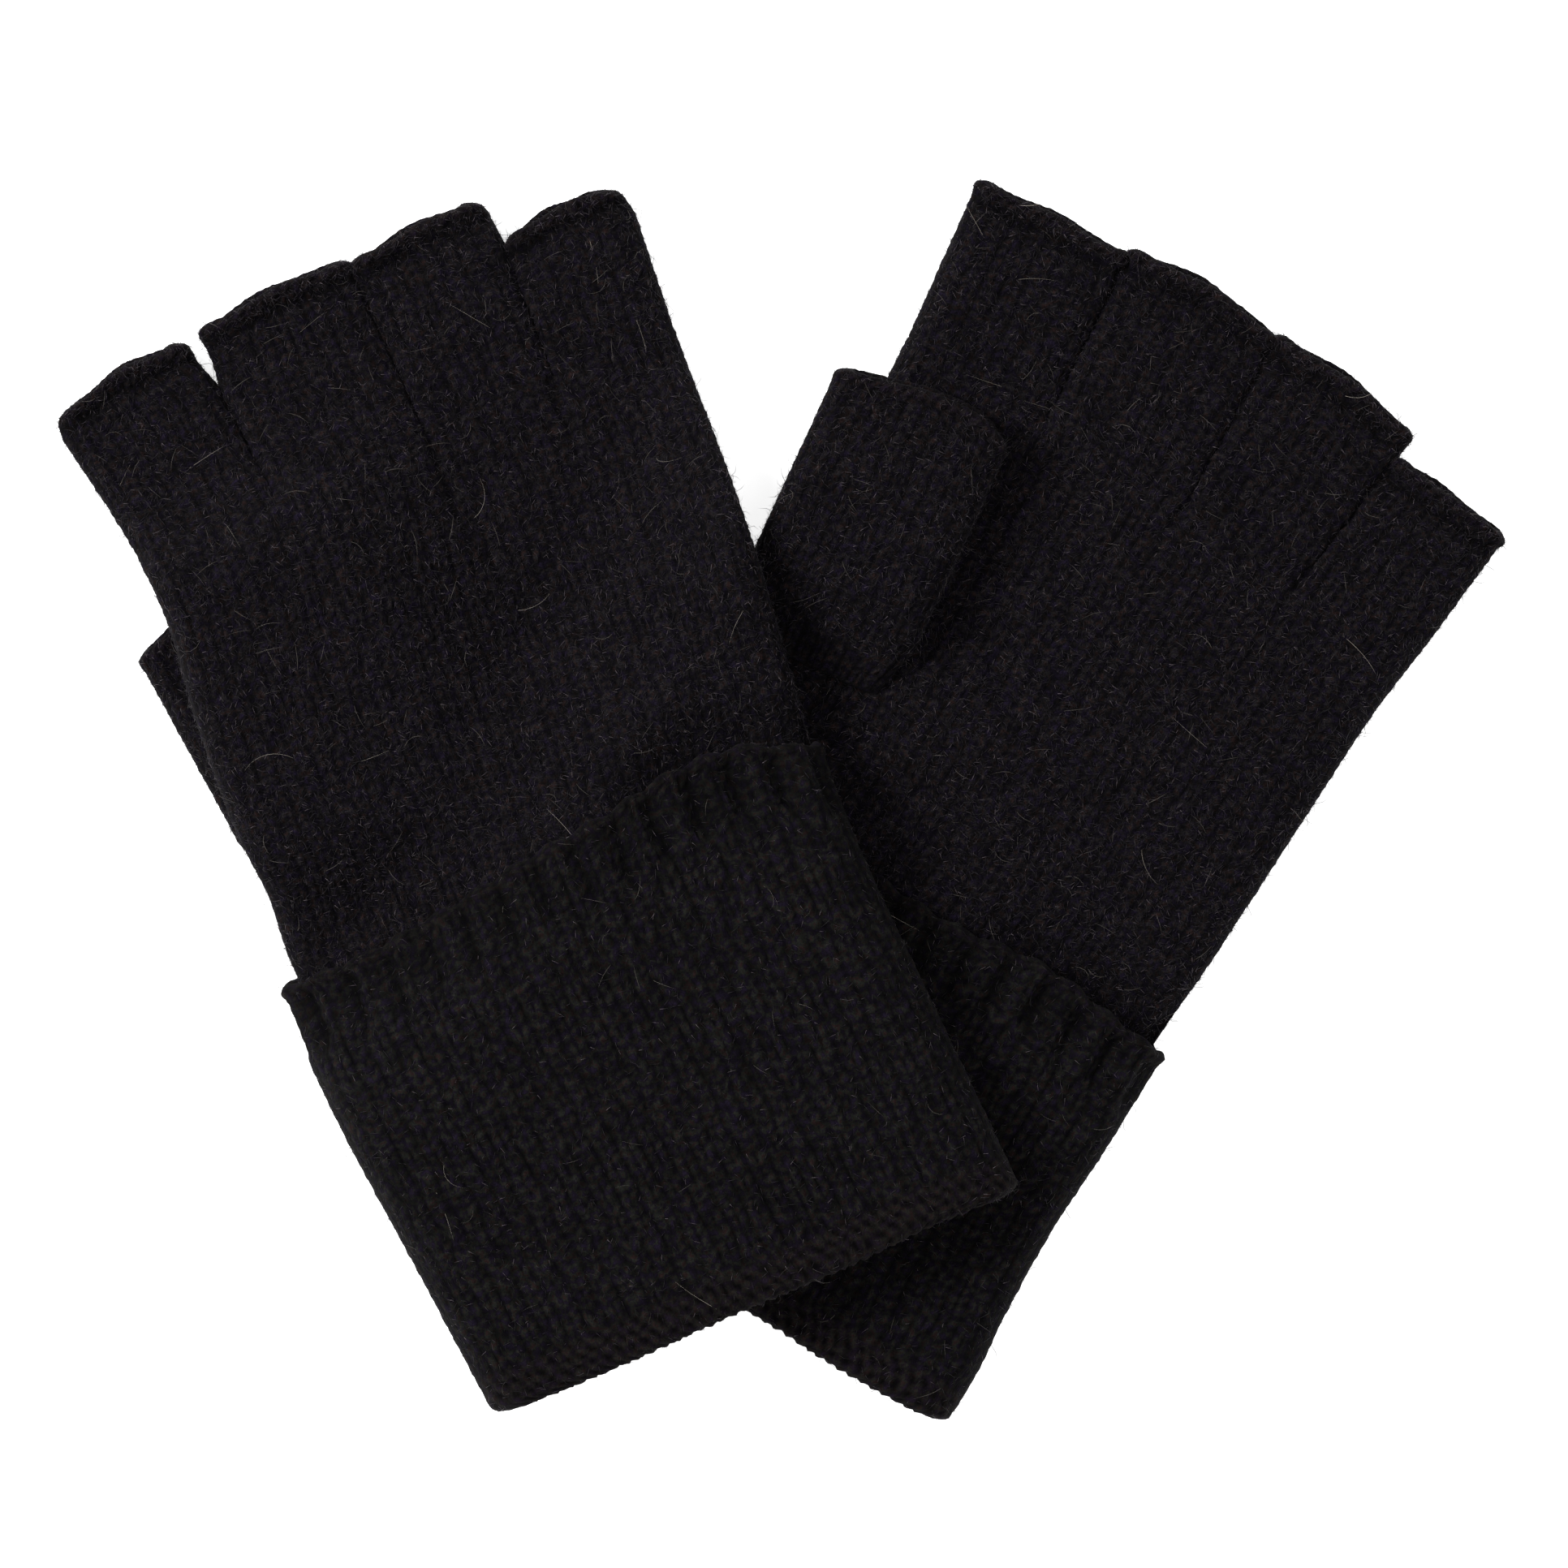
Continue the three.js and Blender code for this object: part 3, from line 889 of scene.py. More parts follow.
@dataclass(frozen=True)
class Fibre:
    """One sort of fibre that stands off the yarn. Sizes are in mm, and the count is for each square cm."""

    name: str
    count: float
    length: float
    spread: tuple[float, float]
    radius: float
    bends: tuple[float, ...]
    segments: int
    tilt: tuple[float, float]
    sway: float = 0.12
    taper: float = 0.75

    def strand(self, bend: float, number: int) -> bpy.types.Object:
        """One tapering strand, three-sided, that starts at the origin and grows along Z.

        Args:
            bend: How far round it curls, in radians.
            number: Its number among the sort's strands.

        Returns:
            The strand, linked to nothing.
        """
        t = np.linspace(0, 1, self.segments + 1)
        angle = bend * t
        step = self.length / self.segments
        x = np.concatenate([[0], np.cumsum(np.sin(angle[:-1]) * step)])
        z = np.concatenate([[0], np.cumsum(np.cos(angle[:-1]) * step)])
        y = self.sway * self.length * np.sin(math.pi * t) * math.copysign(1, bend or 1)
        thick = self.radius * (1 - self.taper * t**2)
        points = []
        for k in range(3):
            side, front = thick * math.cos(TAU * k / 3), thick * math.sin(TAU * k / 3)
            points.append(np.stack([x + side * np.cos(angle), y + front, z - side * np.sin(angle)], -1))
        last = self.segments - 1
        rings = np.stack(points, 1)[: last + 1].reshape(-1, 3)
        rings = np.vstack([rings, [x[-1], y[-1], z[-1]]])
        faces = [(2, 1, 0)] + [(3 * last + k, 3 * last + (k + 1) % 3, len(rings) - 1) for k in range(3)]
        for ring in range(last):
            for k in range(3):
                a, b = 3 * ring + k, 3 * ring + (k + 1) % 3
                faces.append((a, b, b + 3, a + 3))
        mesh = bpy.data.meshes.new(f"{self.name} {number}")
        mesh.from_pydata(rings * MM, [], faces)
        mesh.shade_smooth()
        return bpy.data.objects.new(mesh.name, mesh)


class FibreTree:
    """Geometry Nodes that scatter each sort of fibre over a knitted wall."""

    def __init__(self, fibres: tuple[Fibre, ...], dyes: dict[str, bpy.types.Material]) -> None:
        """Builds the tree once, for every piece.

        Args:
            fibres: The sorts of fibre.
            dyes: The material of each sort, by its name.
        """
        self.tree = bpy.data.node_groups.new("standing fibres", "GeometryNodeTree")
        face = self.tree.interface
        face.new_socket("Wall", in_out="INPUT", socket_type="NodeSocketGeometry")
        self.fullness = face.new_socket("Fullness", in_out="INPUT", socket_type="NodeSocketFloat")
        self.seed = face.new_socket("Seed", in_out="INPUT", socket_type="NodeSocketInt")
        face.new_socket("Fibres", in_out="OUTPUT", socket_type="NodeSocketGeometry")
        self.strands = [self._bundle(fibre) for fibre in fibres]
        given = add(self.tree, "NodeGroupInput")
        joined = add(self.tree, "GeometryNodeJoinGeometry")
        for number, fibre in enumerate(fibres):
            grown = self._grow(given, fibre, self.strands[number], dyes[fibre.name], number)
            self.tree.links.new(grown, joined.inputs[0])
        add(self.tree, "NodeGroupOutput", {0: joined.outputs[0]})

    def _bundle(self, fibre: Fibre) -> bpy.types.Collection:
        """Makes the strands of a sort.

        Args:
            fibre: The sort.

        Returns:
            A collection with one strand for each of its bends.
        """
        bundle = bpy.data.collections.new(fibre.name)
        for number, bend in enumerate(fibre.bends):
            bundle.objects.link(fibre.strand(bend, number))
        return bundle

    def _grow(
        self,
        given: bpy.types.Node,
        fibre: Fibre,
        bundle: bpy.types.Collection,
        dye: bpy.types.Material,
        number: int,
    ) -> bpy.types.NodeSocket:
        """Adds the nodes for one sort of fibre.

        Args:
            given: The tree's input node.
            fibre: The sort.
            bundle: Its strands.
            dye: Its material.
            number: Its number, which keeps its places apart from the other sorts'.

        Returns:
            The output with its fibres.
        """
        tree = self.tree
        room = add(tree, "GeometryNodeInputNamedAttribute", {"Name": "fuzz"}, data_type="FLOAT")
        per_square_metre = {0: room.outputs[0], 1: fibre.count * 1e4}
        full = add(tree, "ShaderNodeMath", per_square_metre, operation="MULTIPLY")
        share = {0: full.outputs[0], 1: given.outputs["Fullness"]}
        wanted = add(tree, "ShaderNodeMath", share, operation="MULTIPLY")
        own_seed = {0: given.outputs["Seed"], 1: 101 * number}
        seed = add(tree, "FunctionNodeIntegerMath", own_seed, operation="ADD").outputs[0]
        places = {"Mesh": given.outputs["Wall"], "Density": wanted.outputs[0], "Seed": seed}
        roots = add(tree, "GeometryNodeDistributePointsOnFaces", places, distribute_method="RANDOM")
        low, high = fibre.tilt
        lean = {0: (low, -0.2, 0.0), 1: (high, 0.2, TAU), "Seed": seed}
        leans = add(tree, "FunctionNodeRandomValue", lean, data_type="FLOAT_VECTOR")
        turn = {"Rotation": roots.outputs["Rotation"], "Rotate By": leans.outputs[0]}
        turned = add(tree, "FunctionNodeRotateRotation", turn, rotation_space="LOCAL")
        spread = {2: fibre.spread[0], 3: fibre.spread[1], "Seed": seed}
        size = add(tree, "FunctionNodeRandomValue", spread, data_type="FLOAT")
        held = {"Collection": bundle, "Separate Children": True, "Reset Children": True}
        strands = add(tree, "GeometryNodeCollectionInfo", held)
        choice = {4: 0, 5: len(fibre.bends) - 1, "Seed": seed}
        which = add(tree, "FunctionNodeRandomValue", choice, data_type="INT")
        planting = {
            "Points": roots.outputs["Points"],
            "Instance": strands.outputs[0],
            "Pick Instance": True,
            "Instance Index": which.outputs[2],
            "Rotation": turned.outputs[0],
            "Scale": size.outputs[1],
        }
        planted = add(tree, "GeometryNodeInstanceOnPoints", planting)
        whole = add(tree, "GeometryNodeRealizeInstances", {0: planted.outputs[0]})
        dyed = add(tree, "GeometryNodeSetMaterial", {"Geometry": whole.outputs[0], "Material": dye})
        return dyed.outputs[0]

    def grow(self, piece: bpy.types.Object, fullness: float, seed: int) -> bpy.types.Object:
        """Grows the fibres of a piece, as an object of their own.

        Args:
            piece: The knitted wall.
            fullness: Share of the usual number of fibres.
            seed: The seed of their places.

        Returns:
            The fibres.
        """
        settings = {self.fullness.identifier: fullness, self.seed.identifier: seed}
        name = piece.name.replace("_knit", "_fibres")
        mesh = applied(piece, self.tree, settings, name)
        for key in KNIT_KEYS:
            if key in mesh.attributes:
                mesh.attributes.remove(mesh.attributes[key])
        place = np.zeros(len(mesh.vertices) * 3, np.float32)
        mesh.vertices.foreach_get("co", place)
        height, least = place[2::3], LEAST_FIBRE_HEIGHT * MM
        pressed = np.where(height < least, least + PRESSED_SHARE * height, height)
        place[2::3] = np.maximum(pressed, 0.0)
        mesh.vertices.foreach_set("co", place)
        made = bpy.data.objects.new(name, mesh)
        bpy.context.scene.collection.objects.link(made)
        return made

    def clear(self) -> None:
        """Removes the strands that the tree copied."""
        for bundle in self.strands:
            for strand in list(bundle.objects):
                bpy.data.objects.remove(strand)
            bpy.data.collections.remove(bundle)


# ---------------------------------------------------------------- finishes
@dataclass(frozen=True)
class BrushedYarn:
    """Finish of brushed angora and wool yarn, knitted: black, with a melange of dark tones."""

    name: str
    black: str = "#0c090e"
    navy: str = "#0f0b16"
    brown: str = "#160e0e"
    grey: str = "#121112"
    tone_steps: tuple[float, float, float, float] = (0.34, 0.46, 0.56, 0.66)
    patch: float = 0.9
    fleck: float = 0.25
    fleck_range: tuple[float, float] = (0.3, 0.75)
    lit: tuple[float, float] = (0.25, 2.2)
    raised_range: tuple[float, float] = (0.05, 0.95)
    shade: tuple[float, float] = (0.16, 1.48)
    warmth: float = 0.0
    purl_light: float = 0.06
    purl_warmth: float = 0.2
    ply_scale: tuple[float, float, float] = (9.0, 2.5, 1.0)
    ply_depth: float = 0.3
    sheen: float = 0.008

    def material(self) -> bpy.types.Material:
        """Makes the yarn, matt and slightly soft at its edges, with painted shade in the gaps between the
        stitches and in grooves.

        Returns:
            The material.
        """
        made = bpy.data.materials.new(self.name)
        made.use_nodes = True
        tree = made.node_tree
        tree.nodes.clear()
        place = add(tree, "ShaderNodeTexCoord").outputs["Object"]
        noise = {"Vector": place, "Scale": 1 / (self.patch * MM), "Detail": 2.0}
        patches = add(tree, "ShaderNodeTexNoise", noise).outputs[0]
        tones = add(tree, "ShaderNodeValToRGB", {0: patches})
        ramp = tones.color_ramp
        colours = (self.navy, self.black, self.grey, self.brown)
        for number, (at, colour) in enumerate(zip(self.tone_steps, colours)):
            stop = ramp.elements[number] if number < 2 else ramp.elements.new(at)
            stop.position = at
            stop.color = linear(colour)
        noise = {"Vector": place, "Scale": 1 / (self.fleck * MM), "Detail": 3.0}
        flecks = add(tree, "ShaderNodeTexNoise", noise).outputs[0]
        lit = add(tree, "ShaderNodeMapRange", dict(enumerate((flecks, *self.fleck_range, *self.lit))))
        raised = add(tree, "ShaderNodeAttribute", attribute_name="raised").outputs["Fac"]
        # painted shade: darker where the stitches lie low, in grooves and in hollows
        shade = add(tree, "ShaderNodeMapRange", dict(enumerate((raised, *self.raised_range, *self.shade))))
        purl = add(tree, "ShaderNodeAttribute", attribute_name="purl").outputs["Fac"]
        # lighter where the purl side shows: partly the purl side's own tone, partly painted light on the
        # rolled edges
        lighter = add(tree, "ShaderNodeMath", {0: purl, 1: self.purl_light, 2: 1.0}, operation="MULTIPLY_ADD")
        for factor in (shade, lighter):
            lit = add(tree, "ShaderNodeMath", {0: lit.outputs[0], 1: factor.outputs[0]}, operation="MULTIPLY")
        warm = {0: purl, 1: self.purl_warmth, 2: self.warmth}
        warm = add(tree, "ShaderNodeMath", warm, operation="MULTIPLY_ADD").outputs[0]
        tinted = {0: warm, 6: tones.outputs[0], 7: linear(self.brown)}
        tinted = add(tree, "ShaderNodeMix", tinted, data_type="RGBA").outputs[2]
        colour = {0: tinted, "Scale": lit.outputs[0]}
        colour = add(tree, "ShaderNodeVectorMath", colour, operation="SCALE")
        ply = add(tree, "ShaderNodeUVMap", uv_map="knit").outputs[0]
        strands = add(tree, "ShaderNodeMapping", {"Vector": ply, "Scale": self.ply_scale}).outputs[0]
        fibres = add(tree, "ShaderNodeTexNoise", {"Vector": strands, "Scale": 1.0, "Detail": 3.0}).outputs[0]
        plies = {"Height": fibres, "Strength": 0.7, "Distance": self.ply_depth * MM}
        plies = add(tree, "ShaderNodeBump", plies)
        surface = add(
            tree,
            "ShaderNodeBsdfPrincipled",
            {
                "Base Color": colour.outputs[0],
                "Normal": plies.outputs[0],
                "Roughness": 0.95,
                "Specular IOR Level": 0.05,
                "Sheen Weight": self.sheen,
                "Sheen Roughness": 0.5,
            },
        )
        add(tree, "ShaderNodeOutputMaterial", {"Surface": surface.outputs[0]})
        return made


@dataclass(frozen=True)
class FibreDye:
    """Finish of the loose fibres: one even colour with a faint gloss."""

    name: str
    colour: str
    roughness: float = 0.55

    def material(self) -> bpy.types.Material:
        """Makes the fibre's look, smooth along its length, so that it catches a little light.

        Returns:
            The material.
        """
        made = bpy.data.materials.new(self.name)
        made.use_nodes = True
        surface = made.node_tree.nodes["Principled BSDF"]
        surface.inputs["Base Color"].default_value = linear(self.colour)
        surface.inputs["Roughness"].default_value = self.roughness
        surface.inputs["Specular IOR Level"].default_value = 0.35
        return made


FIBRES = (
    Fibre("short down", 170.0, 1.0, (0.5, 1.6), 0.030, (0.0,), 1, (1.1, 1.5)),
    Fibre("pale fleck", 36.0, 0.9, (0.5, 1.5), 0.028, (0.0,), 1, (1.15, 1.5)),
    Fibre("black down", 26.0, 2.1, (0.4, 1.4), 0.032, (0.7, -0.5, 1.3), 2, (0.7, 1.5)),
    Fibre("long down", 3.0, 2.8, (0.5, 1.6), 0.018, (0.1, -0.3, 0.6, -1.8), 4, (1.1, 1.5)),
    Fibre("guard hair", 0.22, 6.0, (0.4, 1.6), 0.016, (0.05, -0.1, 0.2, -0.4, 1.6), 9, (1.25, 1.5)),
)


# ---------------------------------------------------------------- the pieces of one glove
@dataclass(frozen=True)
class Knit:
    """One of the two knits: the record's material slot, its yarn, and its share of the usual fibres."""

    slot: str
    yarn: bpy.types.Material
    fullness: float


@dataclass(frozen=True)
class Workshop:
    """What both gloves are made with."""

    stitches: StitchTree
    fibres: FibreTree
    hand: Knit
    cuff: Knit


@dataclass
class Glove:
    """One glove: hand, four half fingers, thumb, wrist and turned-up cuff."""

    form: GloveForm
    lie: Lie
    shop: Workshop
    stitch_height: float = 0.5
    slack_in_wales: float = 0.12
    slack_in_courses: float = 0.3
    edge_fluff: float = 0.8
    fold_corner: float = 1.4
    fold_reach: float = 14.0
    purl_band: float = 6.5
    purl_rim: float = 2.4
    rib_length: float = 12.5
    rib_fade: float = 4.0
    rib_depth: float = 1.1
    rib_depth_at_rim: float = 0.35
    rim_length: float = 3.0
    rim_height: float = 0.4
    scallop: float = 0.35
    scallop_length: float = 6.0
    edge_reach: float = 26.0
    hollow_depth: float = 3.0
    hollow_place: tuple[float, float] = (1.0, 5.5)
    hollow_shade: float = 0.65
    crease_overlap: tuple[float, float] = (0.3, 1.2)
    crease_spread: float = 0.9
    crease_fade: float = 5.0
    finger_thinning: float = 1.5
    gap_closing: float = 9.0
    welt_height: float = 0.45
    welt_length: float = 2.6
    welt_place: tuple[float, float] = (1.2, 1.1)
    groove_depth: float = 0.7
    groove_place: tuple[float, float] = (3.6, 1.3)
    tip_waver: float = 0.2
    tip_recess: float = 0.8
    tip_reach: float = 9.0
    thumb_start: float = -13.0
    thumb_sink: float = 5.6
    thumb_root_thinning: float = 3.4
    thumb_root_inset: float = 2.2
    thumb_tip_thinning: float = 0.9
    thumb_corner: tuple[float, float] = (1.6, 1.4)

    # -- shared steps
    def finished(self, name: str, wall: Wall, nodes: list[str], knit: Knit) -> list[bpy.types.Object]:
        """Turns a wall into its finished piece and grows its fibres.

        Args:
            name: The piece's name without the glove's.
            wall: The grid.
            nodes: The CAD nodes it stands for, without the glove's name.
            knit: What it is knitted in.

        Returns:
            The piece, and its fibres if it has any.
        """
        prefix = self.form.prefix
        piece = wall.object(f"{prefix}_{name}_knit")
        self.shop.stitches.apply(piece, self.stitch_height, knit.yarn)
        made = [piece]
        if knit.fullness:
            seed = self.form.seed * 1000 + sum(map(ord, name))
            made.append(self.shop.fibres.grow(piece, knit.fullness, seed))
        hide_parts(*[f"{prefix}_{node}" for node in nodes])
        for each in made:
            LOG.info("%s: %d faces", each.name, len(each.data.polygons))
        return made

    def wall(
        self,
        grid: Grid,
        place: tuple[np.ndarray, np.ndarray, np.ndarray],
        lift: np.ndarray,
        fuzz: np.ndarray | float,
        relief: np.ndarray | None = None,
        purl: np.ndarray | float = 0.0,
        sunk: np.ndarray | float = 0.0,
    ) -> Wall:
        """Lays a grid of the glove's frame in the row frame.

        Args:
            grid: The grid's own coordinates.
            place: Its places across, along, and over the glove's bottom, in mm.
            lift: Heights of that bottom, in mm.
            fuzz: How thickly the fibres stand.
            relief: How far the stitches stand out. By default they do on the whole outside.
            purl: How far the purl side shows instead of the plain one.
            sunk: How much painted shade darkens the stitches where the knitting lies in a groove or hollow.

        Returns:
            The wall.
        """
        u, v, z = place
        x, y = self.form.to_row(u, v)
        seed = self.form.seed
        return Wall(
            points=np.stack([x, y, self.lie.settled(u, v, z, lift)], -1),
            wale=grid.wale + self.slack_in_wales * ripple(u, v, seed + 1, 7.0),
            course=grid.course + self.slack_in_courses * ripple(u, v, seed + 2, 6.0),
            relief=grid.outside * self.stitched(grid.share) if relief is None else relief,
            purl=purl,
            sunk=sunk,
            fuzz=fuzz,
            closed=grid.closed,
        )

    def corner_inset(self, v: np.ndarray) -> np.ndarray:
        """Returns how far the rounded corners at the fold come in at v."""
        r = self.fold_corner
        return r - np.sqrt(np.maximum(r * r - np.maximum(0, r - v) ** 2, 0))

    def brushed(self, share: np.ndarray, z: np.ndarray) -> np.ndarray:
        """Returns how thickly the fibres stand, which is less underneath and none where it rests."""
        under = np.minimum(share - 0.5, 1 - share)
        return (1 - 0.7 * smooth(under / 0.08)) * smooth(z / 1.2)

    def stitched(self, share: np.ndarray) -> np.ndarray:
        """Returns how far the stitches stand out, which is less round the sides of a flattened tube."""
        from_side = np.minimum(np.minimum(share, 1 - share), np.abs(share - 0.5))
        return 0.4 + 0.6 * smooth((from_side - 0.01) / 0.03)

    # -- cuff and wrist
    def cuff_ring(self, grid: Grid, depth: np.ndarray) -> tuple[np.ndarray, np.ndarray]:
        """Lays a layer round inside the cuff's outline.

        Args:
            grid: The layer's grid.
            depth: How far inside the outline it lies, in mm.

        Returns:
            The places across and the heights, in mm.
        """
        inset = depth + self.corner_inset(grid.along)
        left = through(self.form.cuff_left, grid.along) + inset
        right = through(self.form.cuff_right, grid.along) - inset
        return flat_ring(grid.share, left, right, depth, LAYERS.cuff - depth)

    def fold_shift(self, u: np.ndarray, v: np.ndarray) -> np.ndarray:
        """Returns how far the fold's uneven line moves a place along the glove."""
        return through(self.form.fold_line, u) * (1 - smooth(v / self.fold_reach))

    def cuff_wall(self, half: Half) -> Wall:
        """The turned-up cuff with its fold, purl band and ribbed edge.

        Args:
            half: All of it, or its upper or lower half.

        Returns:
            The wall.
        """
        form = self.form
        inner_step = CUFF_GAUGE.course / CUFF_GAUGE.along if half is Half.UPPER else INNER_STEP
        profile = cuff_profile(form.cuff_length, CUFF_GAUGE, inner_step)
        grid = wall_grid(profile, 4 * CUFF_HALF_WIDTH, CUFF_GAUGE, half)
        v, outside, share = grid.along, grid.outside, grid.share
        from_edge = form.cuff_length - v
        past_rim = smooth((from_edge - 0.5) / 2.5)
        ribbed = smooth((self.rib_length - from_edge) / self.rib_fade)
        ribbed = ribbed * (self.rib_depth_at_rim + (1 - self.rib_depth_at_rim) * past_rim)
        # The rib grooves are cut into the wall and also darkened with painted shade.
        sunk = (0.5 - 0.5 * np.cos(math.pi * grid.wale)) * ribbed * outside
        rim = self.rim_height * smooth((self.rim_length - from_edge) / 2.4) * outside
        u, z = self.cuff_ring(grid, grid.inset + self.rib_depth * sunk - rim)
        under = np.minimum(share - 0.5, 1 - share)
        on_top = np.where(share <= 0.5, 1.0, 1 - smooth(under / 0.06))
        to_edge = smooth((v - self.edge_reach) / (form.cuff_length - self.edge_reach))
        near_edge = smooth((self.scallop_length - from_edge) / self.scallop_length)
        scallop = self.scallop * np.cos(math.pi * grid.wale) * near_edge
        along = v + (through(form.rib_line, u) * to_edge + scallop) * on_top + self.fold_shift(u, v)
        at_fold = smooth((self.purl_band - v) / 1.5)
        at_edge = 0.8 * smooth((self.purl_rim - from_edge) / 1.2)
        inside = 1.0 * (grid.inset >= LAYERS.wall)
        return self.wall(
            grid,
            (u, along, z),
            self.lie.bed(u, along),
            fuzz=outside * self.brushed(share, z),
            relief=outside * self.stitched(share) + 0.5 * inside,
            purl=np.maximum(at_fold, at_edge) * outside + inside,
            sunk=sunk,
        )

    def wrist_wall(self) -> Wall:
        """The layer of the wrist inside the turned-up cuff.

        Returns:
            The wall.
        """
        gauge = Gauge(CUFF_GAUGE.wale, CUFF_GAUGE.course, across=5, along=3)
        start = (LAYERS.wall + LAYERS.step) / 2
        profile = tube_profile(start, WRIST_LENGTH + 2, gauge, depth=LAYERS.step)
        grid = wall_grid(profile, 4 * CUFF_HALF_WIDTH, gauge)
        u, z = self.cuff_ring(grid, grid.inset)
        along = grid.along + self.fold_shift(u, grid.along)
        relief = 0.6 * grid.outside * self.stitched(grid.share)
        return self.wall(grid, (u, along, z), self.lie.bed(u, along), fuzz=0.0, relief=relief)

    # -- hand
    def grooves(self, u: np.ndarray, v: np.ndarray) -> np.ndarray:
        """How much of the hand's thickness is left in the creases between the fingers.

        Args:
            u: Places across, in mm.
            v: Places along, in mm.

        Returns:
            The share left, from 0 to 1.
        """
        near_knuckle = np.clip((v - self.form.crease_start) / (KNUCKLE_V - self.form.crease_start), 0, 1)
        depth = smooth(near_knuckle)
        width = lerp(self.crease_fade, self.crease_spread * LAYERS.tube / 2, depth)
        left = np.ones(np.broadcast(u, v).shape)
        for crease in self.form.creases:
            away = np.abs(u - through(crease, v)) + self.crease_overlap[1]
            near = np.clip(1 - away / width, 0, 1)
            left = left * (1 - depth * (1 - np.sqrt(1 - near**2)))
        return left

    def hand_wall(self) -> Wall:
        """The hand from inside the cuff to the knuckles.

        Returns:
            The wall.
        """
        form = self.form
        profile = tube_profile(WRIST_LENGTH + 1, KNUCKLE_V + 0.3, HAND_GAUGE)
        grid = wall_grid(profile, 2 * form.knuckle_width - 4, HAND_GAUGE)
        v, d = grid.along, grid.inset
        base = LAYERS.step * (1 - smooth((v - form.cuff_length) / self.lie.slope))
        left, right = through(form.hand_left, v) + d, through(form.hand_right, v) - d
        u, z = flat_ring(grid.share, left, right, base + d, base + LAYERS.tube - d)
        middle = base + LAYERS.tube / 2
        z = middle + (z - middle) * self.grooves(u, v)
        past_cuff = v - form.cuff_length - through(form.rib_line, u)
        hollow = bump(past_cuff, self.hollow_place) * smooth((u - 2) / 18) * smooth((z - middle) / 2)
        z = z - self.hollow_depth * hollow
        shown = grid.outside * smooth((v - form.cuff_length + 6) / 5)
        return self.wall(
            grid,
            (u, v, z),
            self.lie.hand_lift(u, v),
            fuzz=shown * self.brushed(grid.share, z),
            # painted shade darkens the stitches in the hollow above the cuff's ribbed edge
            sunk=self.hollow_shade * hollow * grid.outside,
        )

    def welt(self, from_edge: np.ndarray) -> np.ndarray:
        """Returns how far a bound-off edge stands out, at some mm from it."""
        return self.welt_height * bump(from_edge, self.welt_place)

    def welt_groove(self, from_edge: np.ndarray, share: np.ndarray) -> np.ndarray:
        """Returns how far the knitting sinks behind a bound-off edge, from 0 to 1, on the upper side; the
        same share darkens it there with painted shade.
        """
        on_top = smooth(np.minimum(share, 0.5 - share) / 0.06)
        return on_top * bump(from_edge, self.groove_place)

    def recess(self, height: np.ndarray, x: np.ndarray) -> np.ndarray:
        """Returns how much shorter the top of a sleeve is, at a height over its middle and x from -1 to 1."""
        return self.tip_recess * smooth((height + 1.5) / 3) * smooth(1 - x**4)

    # -- fingers
    def finger_wall(self, finger: Finger) -> Wall:
        """One half finger from the knuckles to its bound-off edge.

        Args:
            finger: Which finger.

        Returns:
            The wall.
        """
        form = self.form
        cut = form.fingers[finger]
        order = list(form.fingers)
        number = order.index(finger)
        root = list(form.finger_root(finger))
        if finger is Finger.INDEX:
            root[0] = form.hand_left[-1][1]
        if finger is Finger.LITTLE:
            root[1] = form.hand_right[-1][1]
        tip = max(cut.tip_line)
        profile = tube_profile(KNUCKLE_V - 1.5, tip, HAND_GAUGE)
        grid = wall_grid(profile, 2 * cut.width + (math.pi - 2) * LAYERS.tube, HAND_GAUGE)
        v, outside, share = grid.along, grid.outside, grid.share
        t = np.clip((v - KNUCKLE_V) / (tip - KNUCKLE_V), 0, 1)
        edges, widths = [], []
        for side in (0, 1):
            edge = lerp(root[side], cut.tip_edges[side], t)
            width = np.ones(v.shape)
            neighbour = number - 1 + side
            outward = 2 * side - 1
            if 0 <= neighbour < len(form.gap_starts):
                next_tip = form.fingers[order[number + outward]].tip_edges[1 - side]
                gap = lerp(FINGER_GAP, abs(next_tip - cut.tip_edges[side]), t)
                start = form.gap_starts[neighbour]
                closed = smooth((start - v) / self.gap_closing)
                soft = smooth((start - v) / (start - KNUCKLE_V))
                edge = edge + outward * (gap / 2 + lerp(*self.crease_overlap, soft)) * closed
                width = lerp(form.crease_width, self.crease_spread, soft)
            r = cut.corner[side]
            past = np.clip((v - (tip - r)) / r, 0, 1)
            edges.append(edge - outward * r * (1 - np.sqrt(1 - past**2)) * 0.9)
            widths.append(width)
